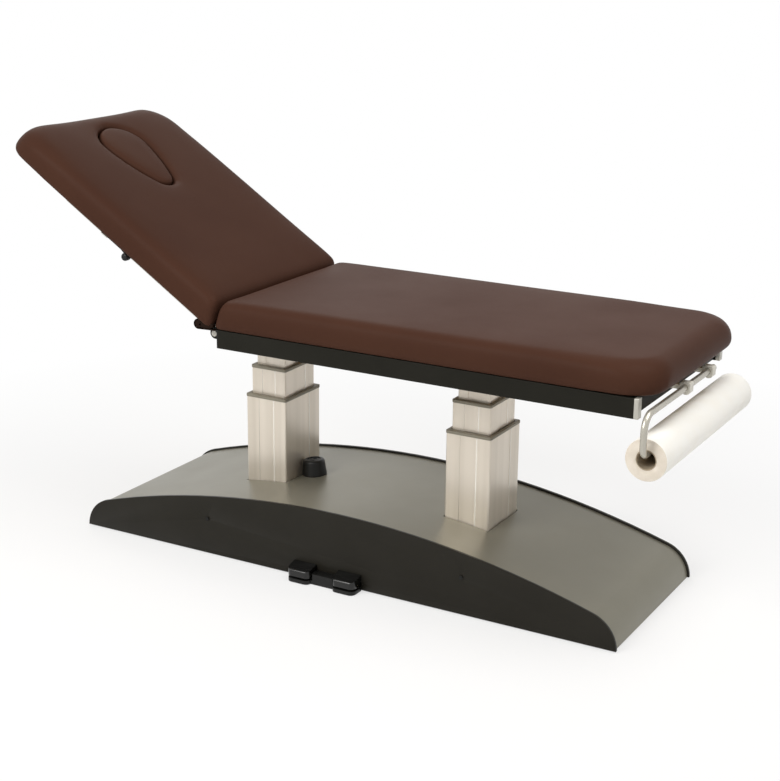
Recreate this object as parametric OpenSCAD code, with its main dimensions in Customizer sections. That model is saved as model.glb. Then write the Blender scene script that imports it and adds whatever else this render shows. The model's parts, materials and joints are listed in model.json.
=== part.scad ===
// Electric examination table: two lifting columns carry a seat section and a tilting backrest.
// Millimetres, +Z up. The origin lies on the floor under the middle of the base.
// +X points to the foot end, the pedals are on the -Y side.

/* [Base] */
// Length of the base over its side panels
base_len = 1575; // [1450:5:1700]
// Width of the base over the outer faces of its side panels
base_w = 514; // [490:2:560]
// Height of the side panels at the crown of their arc
base_h = 194; // [185:1:215]
// Radius of the rounded ends of the side panels
end_r = 90; // [82:1:100]
// Thickness of each side panel
panel_t = 8; // [5:0.5:12]
// How far the side panels stand proud of the cover
panel_proud = 5; // [2:0.5:7]
// Sheet thickness of the arched cover
cover_t = 2; // [1:0.5:3]
// Section of the square tubes of the base frame
base_tube = 40; // [30:1:44]
// Width of each foot pedal
pedal_w = 66; // [54:1:74]
// How far the pedals reach out of the front panel
pedal_reach = 43; // [36:1:56]

/* [Columns] */
// Distance between the middles of the two columns
column_pitch = 606; // [560:2:660]
// Size of the outer column stage, across and along the table's width
outer_w = 125; // [118:1:140]
// Depth of the outer column stage
outer_d = 172; // [162:1:190]
// Width of the middle column stage
mid_w = 107; // [102:1:112]
// Depth of the middle column stage
mid_d = 145; // [138:1:156]
// Width of the inner column stage
inner_w = 90; // [84:1:94]
// Depth of the inner column stage
inner_d = 120; // [110:1:126]
// Wall of the column stages
stage_wall = 4.5; // [3:0.5:5.5]
// How far the top of the outer stage lies below the upholstery's underside, as drawn
outer_drop = 227.5; // [210:0.5:250]
// How far the top of the middle stage lies below the upholstery's underside, as drawn
mid_drop = 149; // [134:1:165]
// Travel of each moving stage down from the drawn height
travel_down = 68; // [40:1:72]
// Travel of each moving stage up from the drawn height
travel_up = 132; // [60:1:140]

/* [Seat] */
// Height of the upholstery's underside above the floor, as drawn
seat_z = 637; // [625:1:660]
// Width of the seat frame over its side rails
frame_w = 580; // [540:2:590]
// Height of the side rails
rail_h = 48; // [40:1:56]
// Width of the side rails
rail_w = 20; // [16:1:26]
// Where the seat frame ends at the foot end
frame_foot_x = 820; // [780:5:840]
// Where the seat frame ends at the hinge
frame_head_x = -313; // [-317:1:-312]
// How far the upholstery overhangs the frame on each side
cushion_over = 12; // [5:1:20]
// Thickness of the upholstery with its board
cushion_t = 73; // [60:1:90]
// Where the seat upholstery ends at the foot end
cushion_foot_x = 860; // [850:5:890]
// Corner radius of the upholstery at the two ends of the table
cushion_corner_r = 105; // [60:5:140]
// Radius of the backrest's corners at its head end
head_corner_r = 85; // [60:5:140]
// Thickness of the upholstery boards
board_t = 18; // [12:1:22]

/* [Backrest] */
// Length of the backrest from its pivot to its head end
back_len = 769; // [700:1:820]
// How much each side of the backrest narrows towards its head end
head_taper = 3; // [0:1:32]
// Tilt of the backrest as drawn
rest_tilt = 32.5; // [0:0.5:60]
// Steepest tilt of the backrest
max_tilt = 65; // [60:1:75]
// Place of the backrest's pivot along the table
pivot_x = -331.5; // [-334:0.5:-330]
// Depth of the pivot below the upholstery's underside
pivot_drop = 15; // [13:0.5:17]
// Length of the face plug
plug_len = 252; // [200:2:280]
// Width of the face plug
plug_w = 158; // [130:2:180]

/* [Paper roll] */
// Radius of the paper roll
roll_r = 49.5; // [35:0.5:60]
// Length of the paper roll
roll_len = 605; // [500:5:610]
// Bore radius of the roll's core
core_r = 22.4; // [18:0.2:25]
// Radius of the roll's rod
rod_r = 8; // [6:0.5:9]
// How far the roll's axis hangs below the upholstery's underside
roll_drop = 132; // [122:1:157]

/* [Hidden] */

// Clearances and overruns
cut = 1;
seat_gap = 0.3;
run_gap = 0.06;
slide_gap = 0.4;
$fn = 64;
crown_fn = 720;

// Base shape
base_half = base_len / 2;
end_c = base_half - end_r;
crown_r = (end_c * end_c + base_h * base_h - end_r * end_r) / (2 * (base_h - end_r));
crown_z = base_h - crown_r;
crown_angle = atan(end_c / (crown_r - base_h));
wedge_share = 1.1;
floor_gap = 4;
panel_in = base_w / 2 - panel_t;
cover_gap = 2;

// Base frame
tube_wall = 3;
tube_corner = 4;
tube_z = 20;
tube_top = tube_z + base_tube;
tube_inset = 59;
tube_y = panel_in - tube_inset - base_tube / 2;
end_tube_x = end_c - base_tube / 2;
column_x = column_pitch / 2;
cross_x = 75;
plate_t = 8;
plate_x = 95;
plate_gap = 30;
plate_y = tube_y - base_tube / 2 - plate_gap;
plate_top = tube_top + plate_t;
bolt_r = 5;
bolt_head_r = 8.5;
bolt_head_h = 6;
plate_edge = 20;
plate_bolt_y = plate_y - plate_edge;
foot_r = 24;
foot_neck_r = 13;
foot_rim = 6;
foot_h = 14;
stem_r = 6;
stem_sink = 8;
stem_nut_r = 10;
stem_up = 22;
foot_x = end_c - base_tube - base_tube / 2;

// Panels, brackets and what hides in the base
panel_screw_x = 379;
panel_screw_z = 102;
screw_r = 2.5;
screw_head_r = 5;
screw_head_h = 2.5;
screw_len = 16;
bracket_w = 30;
bracket_t = 3;
bracket_up = 13;
tray_x = 125;
box_x = 110;
box_y = 60;
box_h = 50;
box_r = 6;
inlet_x = -560;
inlet_z = 52;
inlet_w = 28;
inlet_h = 21;
inlet_depth = 24;
inlet_rim = 6;
inlet_flange_t = 3;
inlet_wall = 2.5;
pin_r = 2;
pin_pitch = 7;
pin_len = 14;

// Charging socket on the cover beside the head column
socket_gap = 2.5;
socket_r = 33;
socket_top_r = 27;
socket_h = 43;
socket_wall = 3;
socket_edge = 7;
socket_y = 3;
insert_r = 19;
insert_sink = 2;
port_w = 13;
port_h = 5.5;
port_step = 14;
port_depth = 9;

// Pedals
pedal_mid_x = -3;
pedal_step = 133;
pedal_depth = pedal_reach - seat_gap;
pedal_corner = 15;
pedal_floor = 2;
skirt_h = 10;
groove_h = 6;
pad_front_h = 18;
pad_rear_h = 28;
pad_edge = 5;
pad_pin_y = 5;
pad_pin_z = 5;
lug_w = 12;
lug_gap = 0.5;
lug_h = 10;
pedal_pin_len = 50;
bridge_h = 28;
bridge_step = 13;
bridge_corner = 5;
neck_w = 72;
neck_h = 18;
neck_gap = 1;

// Columns
stage_corner = 5;
band_share = 0.36;
band_depth = 1.2;
collar_h = 8;
collar_proud = 1.5;
stage_floor_gap = 4;
nut_plate_t = 8;
nut_len = 25;
lower_nut_r = 20;
upper_nut_r = 24;
lower_screw_r = 10;
upper_screw_r = 15;
upper_screw_bore = 10.8;
mid_bottom = plate_top + travel_down + stage_floor_gap;
outer_top = seat_z - outer_drop;
mid_top = seat_z - mid_drop;
inner_bottom = mid_bottom + nut_len + travel_down + stage_floor_gap + seat_gap;
cross_h = 30;
head_plate_t = 6;
inner_top = seat_z - cross_h - head_plate_t;
lower_screw_top = min(mid_bottom + travel_up + nut_len * 3, inner_top - travel_down * 2 - plate_t);
upper_screw_top = min(inner_bottom + travel_up + nut_len * 3, inner_top - travel_down - plate_t);
gearbox_x = 48;
gearbox_y = 45;
gearbox_h = 42;
motor_r = 17;
motor_gap = 9;
screw_sink = 30;

// Seat frame
rail_wall = 2.5;
rail_corner = 2;
rail_z = seat_z - rail_h;
rail_in = frame_w / 2 - rail_w;
cap_foot_t = 11;
cap_head_t = 3;
cap_plug = 14;
cross_w = 20;
head_plate_x = 58;
head_plate_y = 110;
head_bolt_y = 92;
gas_cross_x = -30;
panel_inset = 16;
end_panel_t = 3;
bracket_plate_t = 6;
hinge_bracket_x = 62;
arm_gap = 2;
arm_w = 20;
arm_h = 25;
arm_end_r = 13;
arm_len = 560;
pivot_z = seat_z - pivot_drop;
pivot_r = 5;
pivot_head_r = 8;
pivot_head_h = 5;
arm_out = rail_in - bracket_plate_t - arm_gap;
arm_in = arm_out - arm_w;

// Upholstery
cushion_half = frame_w / 2 + cushion_over;
cushion_wrap = 14;
cushion_top_r = 26;
cushion_bottom_r = 12;
hinge_corner_r = 50;
hinge_edge_r = 10;
hinge_gap = 1.5;
board_gap = 0.5;
flank_angle = max_tilt / 2;
arc_steps = 8;
back_x = pivot_x - back_len;
board_setback = 18;

// Face plug outline, an egg of a wide arc, a narrow arc and two long flanks
plug_gap = 1.5;
plug_tip_r = 38;
plug_flank_share = 1.75;
plug_head_setback = 67;
plug_ledge = 14;
plug_proud = 2;

// Roll holder
rod_reach = 30;
rod_drop = 25;
rod_x = frame_foot_x + rod_reach;
rod_z = seat_z - rod_drop;
roll_z = seat_z - roll_drop;
rod_bend = 38;
rod_low_bend = 20;
rod_end_y = 130;
roll_mid_y = -2.5;
core_t = 1.7;
core_gap = 0.15;
holder_y = [-62, 98];
holder_w = 24;
pad_h = 34;
pad_t = 4;
clamp_half = 13;
clamp_arm_h = 12;
clamp_knob_r = 7;
clamp_knob_h = 5;
roll_low_z = roll_z + core_r - rod_r - seat_gap;
arm_space = 3;
rod_arm_y = roll_mid_y - roll_len / 2 - rod_low_bend - arm_space;

// Gas spring and its lever
gas_inset = 55;
gas_y = gas_inset - arm_in;
lever_len = 52;
lever_angle = 61;
lever_t = 6;
lever_eye_r = 10;
lever_root_x = 80;
gas_anchor_drop = 68;
gas_anchor_z = seat_z - gas_anchor_drop;
gas_r = 11;
gas_rod_r = 5;
gas_len = 205;
gas_eye_r = 9;
gas_neck = 20;
gas_end_t = 4;
gas_rod_hidden = 70;
gas_eye_t = 10;
gas_pin_r = 4;
anchor_plate_t = 4;

// Release lever on the near arm
release_x = 412;
release_len = 70;
release_drop = 15;
release_fall = 6;
release_block_x = 11;
release_block_z = 8;
release_t = 4;
release_w = 10;
release_knob_r = 8;
release_knob_w = 18;
release_pin_r = 3;
release_boss = 6;

// Vinyl flap that closes the gap at the hinge
flap_r = 13.5;
flap_t = 2.5;
flap_along = 44;
flap_over = 4;
flap_inner_y = arm_in - pivot_head_h - cut;

// Small shared functions
function unit(v) = v / norm(v);
function turn(v, a) = [v[0] * cos(a) - v[1] * sin(a), v[0] * sin(a) + v[1] * cos(a)];
function side(a, b, c) = sign((b[0] - a[0]) * (c[1] - b[1]) - (b[1] - a[1]) * (c[0] - b[0]));

// Points of one rounded corner b between its neighbours a and c
function corner_points(a, b, c, r) =
    let (u = unit(a - b), v = unit(c - b), inside = acos(u * v), swept = acos(-u * v), s = side(a, b, c))
    let (middle = b + unit(u + v) * r / sin(inside / 2), from = b + u * r / tan(inside / 2) - middle)
    r == 0 ? [b] : [for (i = [0:arc_steps]) middle + turn(from, s * swept * i / arc_steps)];

// A polygon's points with each corner rounded by its own radius
function rounded(pts, radii) = [
    for (i = [0:len(pts) - 1])
        each corner_points(pts[(i + len(pts) - 1) % len(pts)], pts[i], pts[(i + 1) % len(pts)], radii[i])
];

// Where the upholstery of the seat ends at height z, so that the backrest can rise
function flank(z) = (z - pivot_z) * tan(flank_angle) + hinge_gap;

// A square with its four corners rounded by true arcs
module rounded_rect(x, y, r) {
    difference() {
        square([x, y], center = true);
        for (sx = [-1, 1], sy = [-1, 1]) {
            difference() {
                polygon([[sx * (x / 2 + cut), sy * (y / 2 + cut)], [sx * (x / 2 + cut), sy * (y / 2 - r)],
                    [sx * (x / 2 - r), sy * (y / 2 - r)], [sx * (x / 2 - r), sy * (y / 2 + cut)]]);
                translate([sx * (x / 2 - r), sy * (y / 2 - r)]) circle(r = r);
            }
        }
    }
}

// Prisms along X and Y drawn as their cross-section, Y to the right and Z up, or X and Z
module along_x(x0, x1) {
    translate([x0, 0, 0]) rotate([90, 0, 90]) linear_extrude(x1 - x0) children();
}

module along_y(y0, y1) {
    translate([0, y1, 0]) rotate([90, 0, 0]) linear_extrude(y1 - y0) children();
}

module rod_y(x, z, r, y0, y1) {
    along_y(y0, y1) translate([x, z]) circle(r = r);
}

module box(lo, hi) {
    translate(lo) cube(hi - lo);
}

module tube_section(w, h, r, wall) {
    difference() {
        rounded_rect(w, h, r);
        square([w - 2 * wall, h - 2 * wall], center = true);
    }
}

module bolt_down(r, head_r, head_h, length) {
    translate([0, 0, -length]) cylinder(r = r, h = length);
    cylinder(r = head_r, h = head_h, $fn = 6);
}

module at_back() {
    translate([pivot_x, 0, pivot_z]) rotate([0, rest_tilt, 0]) translate([-pivot_x, 0, -pivot_z]) children();
}

module at_columns() {
    for (s = [-1, 1]) {
        translate([s * column_x, 0, 0]) children();
    }
}

// Base
module base_outline(inset, bottom) {
    intersection() {
        union() {
            intersection() {
                translate([0, crown_z]) circle(r = crown_r - inset, $fn = crown_fn);
                polygon([[0, crown_z], for (s = [1, -1]) [s * crown_r * wedge_share * sin(crown_angle),
                    crown_z + crown_r * wedge_share * cos(crown_angle)]]);
            }
            for (s = [-1, 1]) {
                translate([s * end_c, 0]) circle(r = end_r - inset, $fn = crown_fn / 4);
            }
        }
        translate([-base_len, bottom]) square([2 * base_len, 2 * base_h]);
    }
}

module base_side_tube(s) {
    difference() {
        along_x(-end_c, end_c) translate([s * tube_y, tube_z + base_tube / 2]) {
            tube_section(base_tube, base_tube, tube_corner, tube_wall);
        }
        for (sx = [-1, 1]) {
            translate([sx * foot_x, s * tube_y, tube_z - cut]) {
                cylinder(r = stem_r + seat_gap, h = tube_wall + 2 * cut);
            }
        }
    }
}

module base_side_tubes() {
    color("#3a3936") for (s = [-1, 1]) {
        base_side_tube(s);
    }
}

module base_cross_tubes() {
    inner = tube_y - base_tube / 2;
    color("#3a3936") for (s = [-1, 1], x = [column_x - cross_x, column_x + cross_x, end_tube_x]) {
        difference() {
            along_y(-inner, inner) translate([s * x, tube_z + base_tube / 2]) {
                tube_section(base_tube, base_tube, tube_corner, tube_wall);
            }
            for (sy = [-1, 1]) {
                translate([s * x, sy * plate_bolt_y, tube_top - base_tube / 2]) {
                    cylinder(r = bolt_r + run_gap, h = base_tube);
                }
            }
        }
    }
}

module column_plates() {
    color("#4a4945") at_columns() {
        difference() {
            box([-plate_x, -plate_y, tube_top], [plate_x, plate_y, plate_top]);
            translate([0, 0, tube_top - cut]) cylinder(r = lower_screw_r + seat_gap, h = plate_t + 2 * cut);
            for (sx = [-1, 1], sy = [-1, 1]) {
                translate([sx * cross_x, sy * plate_bolt_y, tube_top - cut]) {
                    cylinder(r = bolt_r + run_gap, h = plate_t + 2 * cut);
                }
            }
        }
    }
}

module plate_bolts() {
    color("#b8b6b0") at_columns() for (sx = [-1, 1], sy = [-1, 1]) {
        translate([sx * cross_x, sy * plate_bolt_y, plate_top]) {
            bolt_down(bolt_r, bolt_head_r, bolt_head_h, plate_t + base_tube / 3);
        }
    }
}

module at_feet() {
    for (sx = [-1, 1], sy = [-1, 1]) {
        translate([sx * foot_x, sy * tube_y, 0]) children();
    }
}

module levelling_feet() {
    color("#1d1d1c") at_feet() rotate_extrude() difference() {
        polygon([[0, 0], [foot_r - cut, 0], [foot_r, cut], [foot_r, foot_rim], [foot_neck_r, foot_h - cut],
            [foot_neck_r - cut, foot_h], [0, foot_h]]);
        translate([0, foot_h - stem_sink]) square([stem_r + run_gap, stem_sink + cut]);
    }
}

module foot_stems() {
    color("#a9a7a0") at_feet() {
        translate([0, 0, foot_h - stem_sink]) cylinder(r = stem_r, h = stem_sink + stem_up);
        translate([0, 0, foot_h + seat_gap]) {
            cylinder(r = stem_nut_r, h = tube_z - foot_h - 2 * seat_gap, $fn = 6);
        }
    }
}

module base_cover() {
    reach = panel_in - seat_gap;
    color("#8b877c") difference() {
        along_y(-reach, reach) difference() {
            base_outline(panel_proud, floor_gap);
            base_outline(panel_proud + cover_t, -cut);
        }
        at_columns() box([-outer_w / 2 - cover_gap, -outer_d / 2 - cover_gap, tube_top],
            [outer_w / 2 + cover_gap, outer_d / 2 + cover_gap, 2 * base_h]);
    }
}

module side_panel(s) {
    y0 = s > 0 ? panel_in : -panel_in - panel_t;
    difference() {
        along_y(y0, y0 + panel_t) base_outline(0, floor_gap);
        for (sx = [-1, 1]) {
            rod_y(sx * panel_screw_x, panel_screw_z, screw_r + run_gap, y0 - cut, y0 + panel_t + cut);
        }
        children();
    }
}

module side_panel_front() {
    color("#2f2e29") side_panel(-1) {
        box([pedal_mid_x - neck_w / 2 - neck_gap, -base_w, 0],
            [pedal_mid_x + neck_w / 2 + neck_gap, 0, pedal_floor + neck_h + neck_gap * 2]);
    }
}

module side_panel_rear() {
    color("#2f2e29") side_panel(1) {
        box([inlet_x - inlet_w / 2 - seat_gap, 0, inlet_z - inlet_h / 2 - seat_gap],
            [inlet_x + inlet_w / 2 + seat_gap, base_w, inlet_z + inlet_h / 2 + seat_gap]);
    }
}

module panel_brackets() {
    foot_in = tube_y - base_tube / 2 + tube_corner;
    back = panel_in - bracket_t;
    up = panel_screw_z + bracket_up;
    color("#4a4945") for (s = [-1, 1], sx = [-1, 1]) {
        difference() {
            along_x(sx * panel_screw_x - bracket_w / 2, sx * panel_screw_x + bracket_w / 2) {
                polygon([[s * foot_in, tube_top], [s * panel_in, tube_top], [s * panel_in, up],
                    [s * back, up], [s * back, tube_top + bracket_t], [s * foot_in, tube_top + bracket_t]]);
            }
            rod_y(sx * panel_screw_x, panel_screw_z, screw_r + run_gap, -base_w, base_w);
        }
    }
}

module panel_screws() {
    out = panel_in + panel_t;
    color("#161615") for (s = [-1, 1], sx = [-1, 1]) {
        translate([sx * panel_screw_x, s * out, panel_screw_z]) rotate([s * 90, 0, 0]) {
            cylinder(r = screw_r, h = screw_len);
            mirror([0, 0, 1]) cylinder(r = screw_head_r, h = screw_head_h);
        }
    }
}

module control_tray() {
    color("#4a4945") box([-tray_x, -tube_y, tube_top], [tray_x, tube_y, tube_top + bracket_t]);
}

module control_box() {
    color("#2b2b29") translate([0, 0, tube_top + bracket_t]) {
        linear_extrude(box_h) rounded_rect(2 * box_x, 2 * box_y, box_r);
    }
}

module inlet_block(w, h, y0, y1) {
    box([-w / 2, y0, -h / 2], [w / 2, y1, h / 2]);
}

module mains_inlet() {
    out = panel_in + panel_t;
    inner = inlet_depth - inlet_wall;
    color("#1a1a19") translate([inlet_x, out, inlet_z]) {
        difference() {
            union() {
                inlet_block(inlet_w, inlet_h, -inlet_depth, 0);
                inlet_block(inlet_w + 2 * inlet_rim, inlet_h + 2 * inlet_rim, 0, inlet_flange_t);
            }
            inlet_block(inlet_w - 2 * inlet_wall, inlet_h - 2 * inlet_wall, -inner, inlet_depth);
        }
        for (i = [-1, 0, 1]) {
            rod_y(i * pin_pitch, i == 0 ? 0 : -pin_r, pin_r, -inner - cut, pin_len - inner);
        }
    }
}

// The charging socket stands square on the arched cover
module on_cover() {
    x = column_x - outer_w / 2 - socket_gap - socket_r;
    translate([0, socket_y, crown_z]) rotate([0, -asin(x / (crown_r - panel_proud)), 0]) {
        translate([0, 0, crown_r - panel_proud + seat_gap]) children();
    }
}

module socket_housing() {
    shoulder = socket_top_r + socket_wall;
    color("#171716") on_cover() rotate_extrude() difference() {
        union() {
            polygon([[0, 0], [socket_r, 0], [socket_r, socket_wall], [shoulder, socket_h - socket_edge],
                [shoulder - socket_edge, socket_h], [0, socket_h]]);
            translate([shoulder - socket_edge, socket_h - socket_edge]) circle(r = socket_edge);
        }
        translate([0, -cut]) square([insert_r, socket_h + 2 * cut]);
    }
}

module socket_insert() {
    top = socket_h - insert_sink;
    color("#24272b") on_cover() difference() {
        translate([0, 0, seat_gap]) cylinder(r = insert_r - run_gap, h = top - seat_gap);
        for (s = [-1, 1]) {
            translate([0, s * port_step / 2, top]) cube([port_w, port_h, port_depth * 2], center = true);
        }
    }
}

// Pedals: each pad tilts on a pin at its rear edge
front_y = -panel_in - panel_t - seat_gap;
pad_z = pedal_floor + skirt_h + groove_h;

module pedal_plan(x0, x1, y1, r) {
    polygon(rounded([[x0, front_y - y1], [x1, front_y - y1], [x1, front_y], [x0, front_y]], [r, r, 0, 0]));
}

module pedal_housing() {
    bridge_half = pedal_step / 2 - pedal_w / 2 - neck_gap;
    bridge_depth = pedal_depth - bridge_step;
    neck_in = -tube_y - base_tube / 2 - seat_gap;
    color("#151514") difference() {
        union() {
            for (s = [-1, 1]) {
                x = pedal_mid_x + s * pedal_step / 2;
                translate([0, 0, pedal_floor]) linear_extrude(skirt_h) {
                    pedal_plan(x - pedal_w / 2, x + pedal_w / 2, pedal_depth, pedal_corner);
                }
                box([x - lug_w / 2, front_y - 2 * pad_pin_y, pedal_floor + skirt_h],
                    [x + lug_w / 2, front_y, pad_z + lug_h]);
            }
            translate([0, 0, pedal_floor]) linear_extrude(bridge_h) {
                pedal_plan(pedal_mid_x - bridge_half, pedal_mid_x + bridge_half, bridge_depth, bridge_corner);
            }
            translate([0, 0, pedal_floor]) linear_extrude(skirt_h) {
                pedal_plan(pedal_mid_x - pedal_step / 2, pedal_mid_x + pedal_step / 2, bridge_depth, 0);
            }
            box([pedal_mid_x - neck_w / 2, front_y - neck_gap, pedal_floor],
                [pedal_mid_x + neck_w / 2, neck_in, pedal_floor + skirt_h]);
            box([pedal_mid_x - neck_w / 2, -panel_in, pedal_floor],
                [pedal_mid_x + neck_w / 2, neck_in, pedal_floor + 2 * neck_h]);
        }
        pedal_pin_holes(pedal_w + pedal_step);
    }
}

module pedal_pin_holes(length) {
    translate([pedal_mid_x - length / 2, front_y - pad_pin_y, pad_z + pad_pin_z]) rotate([0, 90, 0]) {
        cylinder(r = screw_r + run_gap, h = length);
    }
}

module pedal_pins() {
    color("#a9a7a0") for (s = [-1, 1]) {
        x = pedal_mid_x + s * pedal_step / 2 - pedal_pin_len / 2;
        translate([x, front_y - pad_pin_y, pad_z + pad_pin_z]) rotate([0, 90, 0]) {
            cylinder(r = screw_r, h = pedal_pin_len);
        }
    }
}

module pedal_pad(s) {
    x = pedal_mid_x + s * pedal_step / 2;
    rear = front_y - seat_gap * 3;
    difference() {
        intersection() {
            translate([0, 0, pad_z]) linear_extrude(pad_rear_h + cut) {
                pedal_plan(x - pedal_w / 2, x + pedal_w / 2, pedal_depth, pedal_corner);
            }
            along_x(x - pedal_w, x + pedal_w) polygon(rounded([[front_y - pedal_depth, pad_z],
                [rear, pad_z], [rear, pad_z + pad_rear_h], [front_y - pedal_depth, pad_z + pad_front_h]],
                [cut, 0, cut, pad_edge]));
        }
        box([x - lug_w / 2 - lug_gap, front_y - 2 * pad_pin_y - cut * 2, pad_z - cut],
            [x + lug_w / 2 + lug_gap, front_y + cut, pad_z + lug_h + cut]);
        translate([x - pedal_w, front_y - pad_pin_y, pad_z + pad_pin_z]) rotate([0, 90, 0]) {
            cylinder(r = screw_r + run_gap, h = 2 * pedal_w);
        }
    }
}

module pedal_up_pad() {
    color("#1c1c1b") pedal_pad(1);
}

module pedal_down_pad() {
    color("#1c1c1b") pedal_pad(-1);
}

// Lifting columns
module stage_section(w, d) {
    difference() {
        rounded_rect(w, d, stage_corner);
        for (s = [-1, 1]) {
            translate([s * w / 2, 0]) square([2 * band_depth, d * band_share], center = true);
            translate([0, s * d / 2]) square([w * band_share, 2 * band_depth], center = true);
        }
        square([w - 2 * stage_wall, d - 2 * stage_wall], center = true);
    }
}

module stage(w, d, z0, z1) {
    translate([0, 0, z0]) linear_extrude(z1 - z0) stage_section(w, d);
}

module collar(w, d, inside_w, inside_d, top) {
    translate([0, 0, top - collar_h]) linear_extrude(collar_h) difference() {
        rounded_rect(w + 2 * collar_proud, d + 2 * collar_proud, stage_corner + collar_proud);
        square([inside_w + 2 * slide_gap, inside_d + 2 * slide_gap], center = true);
    }
}

module nut(w, d, z, nut_r, bore_r) {
    difference() {
        union() {
            box([-w / 2 + stage_wall + seat_gap, -d / 2 + stage_wall + seat_gap, z],
                [w / 2 - stage_wall - seat_gap, d / 2 - stage_wall - seat_gap, z + nut_plate_t]);
            translate([0, 0, z]) cylinder(r = nut_r, h = nut_len);
        }
        translate([0, 0, z - cut]) cylinder(r = bore_r + run_gap, h = nut_len + 2 * cut);
    }
}

module gearboxes() {
    color("#57554f") at_columns() difference() {
        box([-gearbox_x, -gearbox_y, tube_top - gearbox_h], [gearbox_x, gearbox_y, tube_top]);
        translate([0, 0, tube_top - screw_sink - seat_gap]) {
            cylinder(r = lower_screw_r + run_gap, h = screw_sink + cut);
        }
    }
}

module lift_motors() {
    z = tube_top - gearbox_h / 2;
    color("#3b3b3a") at_columns() rod_y(0, z, motor_r, gearbox_y, tube_y - base_tube / 2 - motor_gap);
}

module column_outer_head() {
    color("#c9c2b4") translate([-column_x, 0, 0]) stage(outer_w, outer_d, plate_top, outer_top - collar_h);
}

module column_outer_foot() {
    color("#c9c2b4") translate([column_x, 0, 0]) stage(outer_w, outer_d, plate_top, outer_top - collar_h);
}

module outer_collars() {
    color("#77716a") at_columns() collar(outer_w, outer_d, mid_w, mid_d, outer_top);
}

module lower_screw(s) {
    translate([s * column_x, 0, tube_top - screw_sink]) {
        cylinder(r = lower_screw_r, h = lower_screw_top - tube_top + screw_sink);
    }
}

module lower_screw_head() {
    color("#b8b6b0") lower_screw(-1);
}

module lower_screw_foot() {
    color("#b8b6b0") lower_screw(1);
}

module column_middle_head() {
    color("#cfc9bc") translate([-column_x, 0, 0]) stage(mid_w, mid_d, mid_bottom, mid_top - collar_h);
}

module column_middle_foot() {
    color("#cfc9bc") translate([column_x, 0, 0]) stage(mid_w, mid_d, mid_bottom, mid_top - collar_h);
}

module middle_collars() {
    color("#77716a") at_columns() collar(mid_w, mid_d, inner_w, inner_d, mid_top);
}

module lower_nuts() {
    color("#b7985a") at_columns() nut(mid_w, mid_d, mid_bottom, lower_nut_r, lower_screw_r);
}

module upper_screw(s) {
    z0 = mid_bottom + nut_len + seat_gap;
    translate([s * column_x, 0, z0]) difference() {
        cylinder(r = upper_screw_r, h = upper_screw_top - z0);
        translate([0, 0, -cut]) cylinder(r = upper_screw_bore, h = upper_screw_top - z0 + 2 * cut);
    }
}

module upper_screw_head() {
    color("#b8b6b0") upper_screw(-1);
}

module upper_screw_foot() {
    color("#b8b6b0") upper_screw(1);
}

module inner_columns() {
    color("#d6d0c4") at_columns() stage(inner_w, inner_d, inner_bottom, inner_top);
}

module upper_nuts() {
    color("#b7985a") at_columns() nut(inner_w, inner_d, inner_bottom, upper_nut_r, upper_screw_r);
}

// Seat frame
head_bars = [frame_head_x + cap_head_t + cross_w / 2, -column_x + head_plate_x - cross_w / 2];
foot_bars = [column_x - head_plate_x + cross_w / 2, column_x + head_plate_x - cross_w / 2];
end_bar = frame_foot_x - panel_inset - end_panel_t - cross_w / 2;

module head_plates() {
    color("#4a4945") for (bars = [head_bars, foot_bars]) {
        x = bars == head_bars ? -column_x : column_x;
        difference() {
            box([x - head_plate_x, -head_plate_y, inner_top],
                [x + head_plate_x, head_plate_y, seat_z - cross_h]);
            for (bar = bars, sy = [-1, 1]) {
                translate([bar, sy * head_bolt_y, inner_top - cut]) {
                    cylinder(r = bolt_r + run_gap, h = head_plate_t + 2 * cut);
                }
            }
        }
    }
}

module head_plate_bolts() {
    color("#b8b6b0") for (bar = concat(head_bars, foot_bars), sy = [-1, 1]) {
        translate([bar, sy * head_bolt_y, inner_top]) mirror([0, 0, 1]) {
            bolt_down(bolt_r, bolt_head_r, bolt_head_h, head_plate_t + cross_h / 2);
        }
    }
}

module side_rail(s) {
    along_x(frame_head_x + cap_head_t, frame_foot_x - cap_foot_t) {
        translate([s * (frame_w - rail_w) / 2, rail_z + rail_h / 2]) {
            tube_section(rail_w, rail_h, rail_corner, rail_wall);
        }
    }
}

module side_rail_front() {
    color("#2b2a24") side_rail(-1);
}

module side_rail_rear() {
    color("#2b2a24") side_rail(1);
}

module cross_members() {
    color("#2b2a24") for (bar = concat(head_bars, [gas_cross_x], foot_bars, [end_bar])) {
        reach = bar < -column_x + head_plate_x ? rail_in - bracket_plate_t : rail_in;
        difference() {
            along_y(-reach, reach) translate([bar, seat_z - cross_h / 2]) {
                tube_section(cross_w, cross_h, rail_corner, rail_wall);
            }
            for (sy = [-1, 1]) {
                translate([bar, sy * head_bolt_y, seat_z - cross_h - cut]) {
                    cylinder(r = bolt_r + run_gap, h = cross_h / 2);
                }
            }
        }
    }
    color("#2b2a24") gas_anchor();
}

module gas_anchor() {
    x0 = gas_cross_x - gas_eye_r;
    x1 = gas_cross_x + gas_eye_r;
    z0 = gas_anchor_z - gas_eye_r;
    z1 = seat_z - cross_h;
    r = gas_eye_r - cut;
    for (s = [-1, 1]) {
        y = gas_y + s * (gas_eye_t / 2 + seat_gap + anchor_plate_t / 2);
        difference() {
            along_y(y - anchor_plate_t / 2, y + anchor_plate_t / 2) {
                polygon(rounded([[x0, z0], [x1, z0], [x1, z1], [x0, z1]], [r, r, 0, 0]));
            }
            rod_y(gas_cross_x, gas_anchor_z, gas_pin_r + run_gap, -base_w, 0);
        }
    }
}

module foot_end_panel() {
    x = frame_foot_x - panel_inset - end_panel_t;
    color("#26251f") box([x, -rail_in, rail_z + rail_corner], [x + end_panel_t, rail_in, seat_z]);
}

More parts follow.
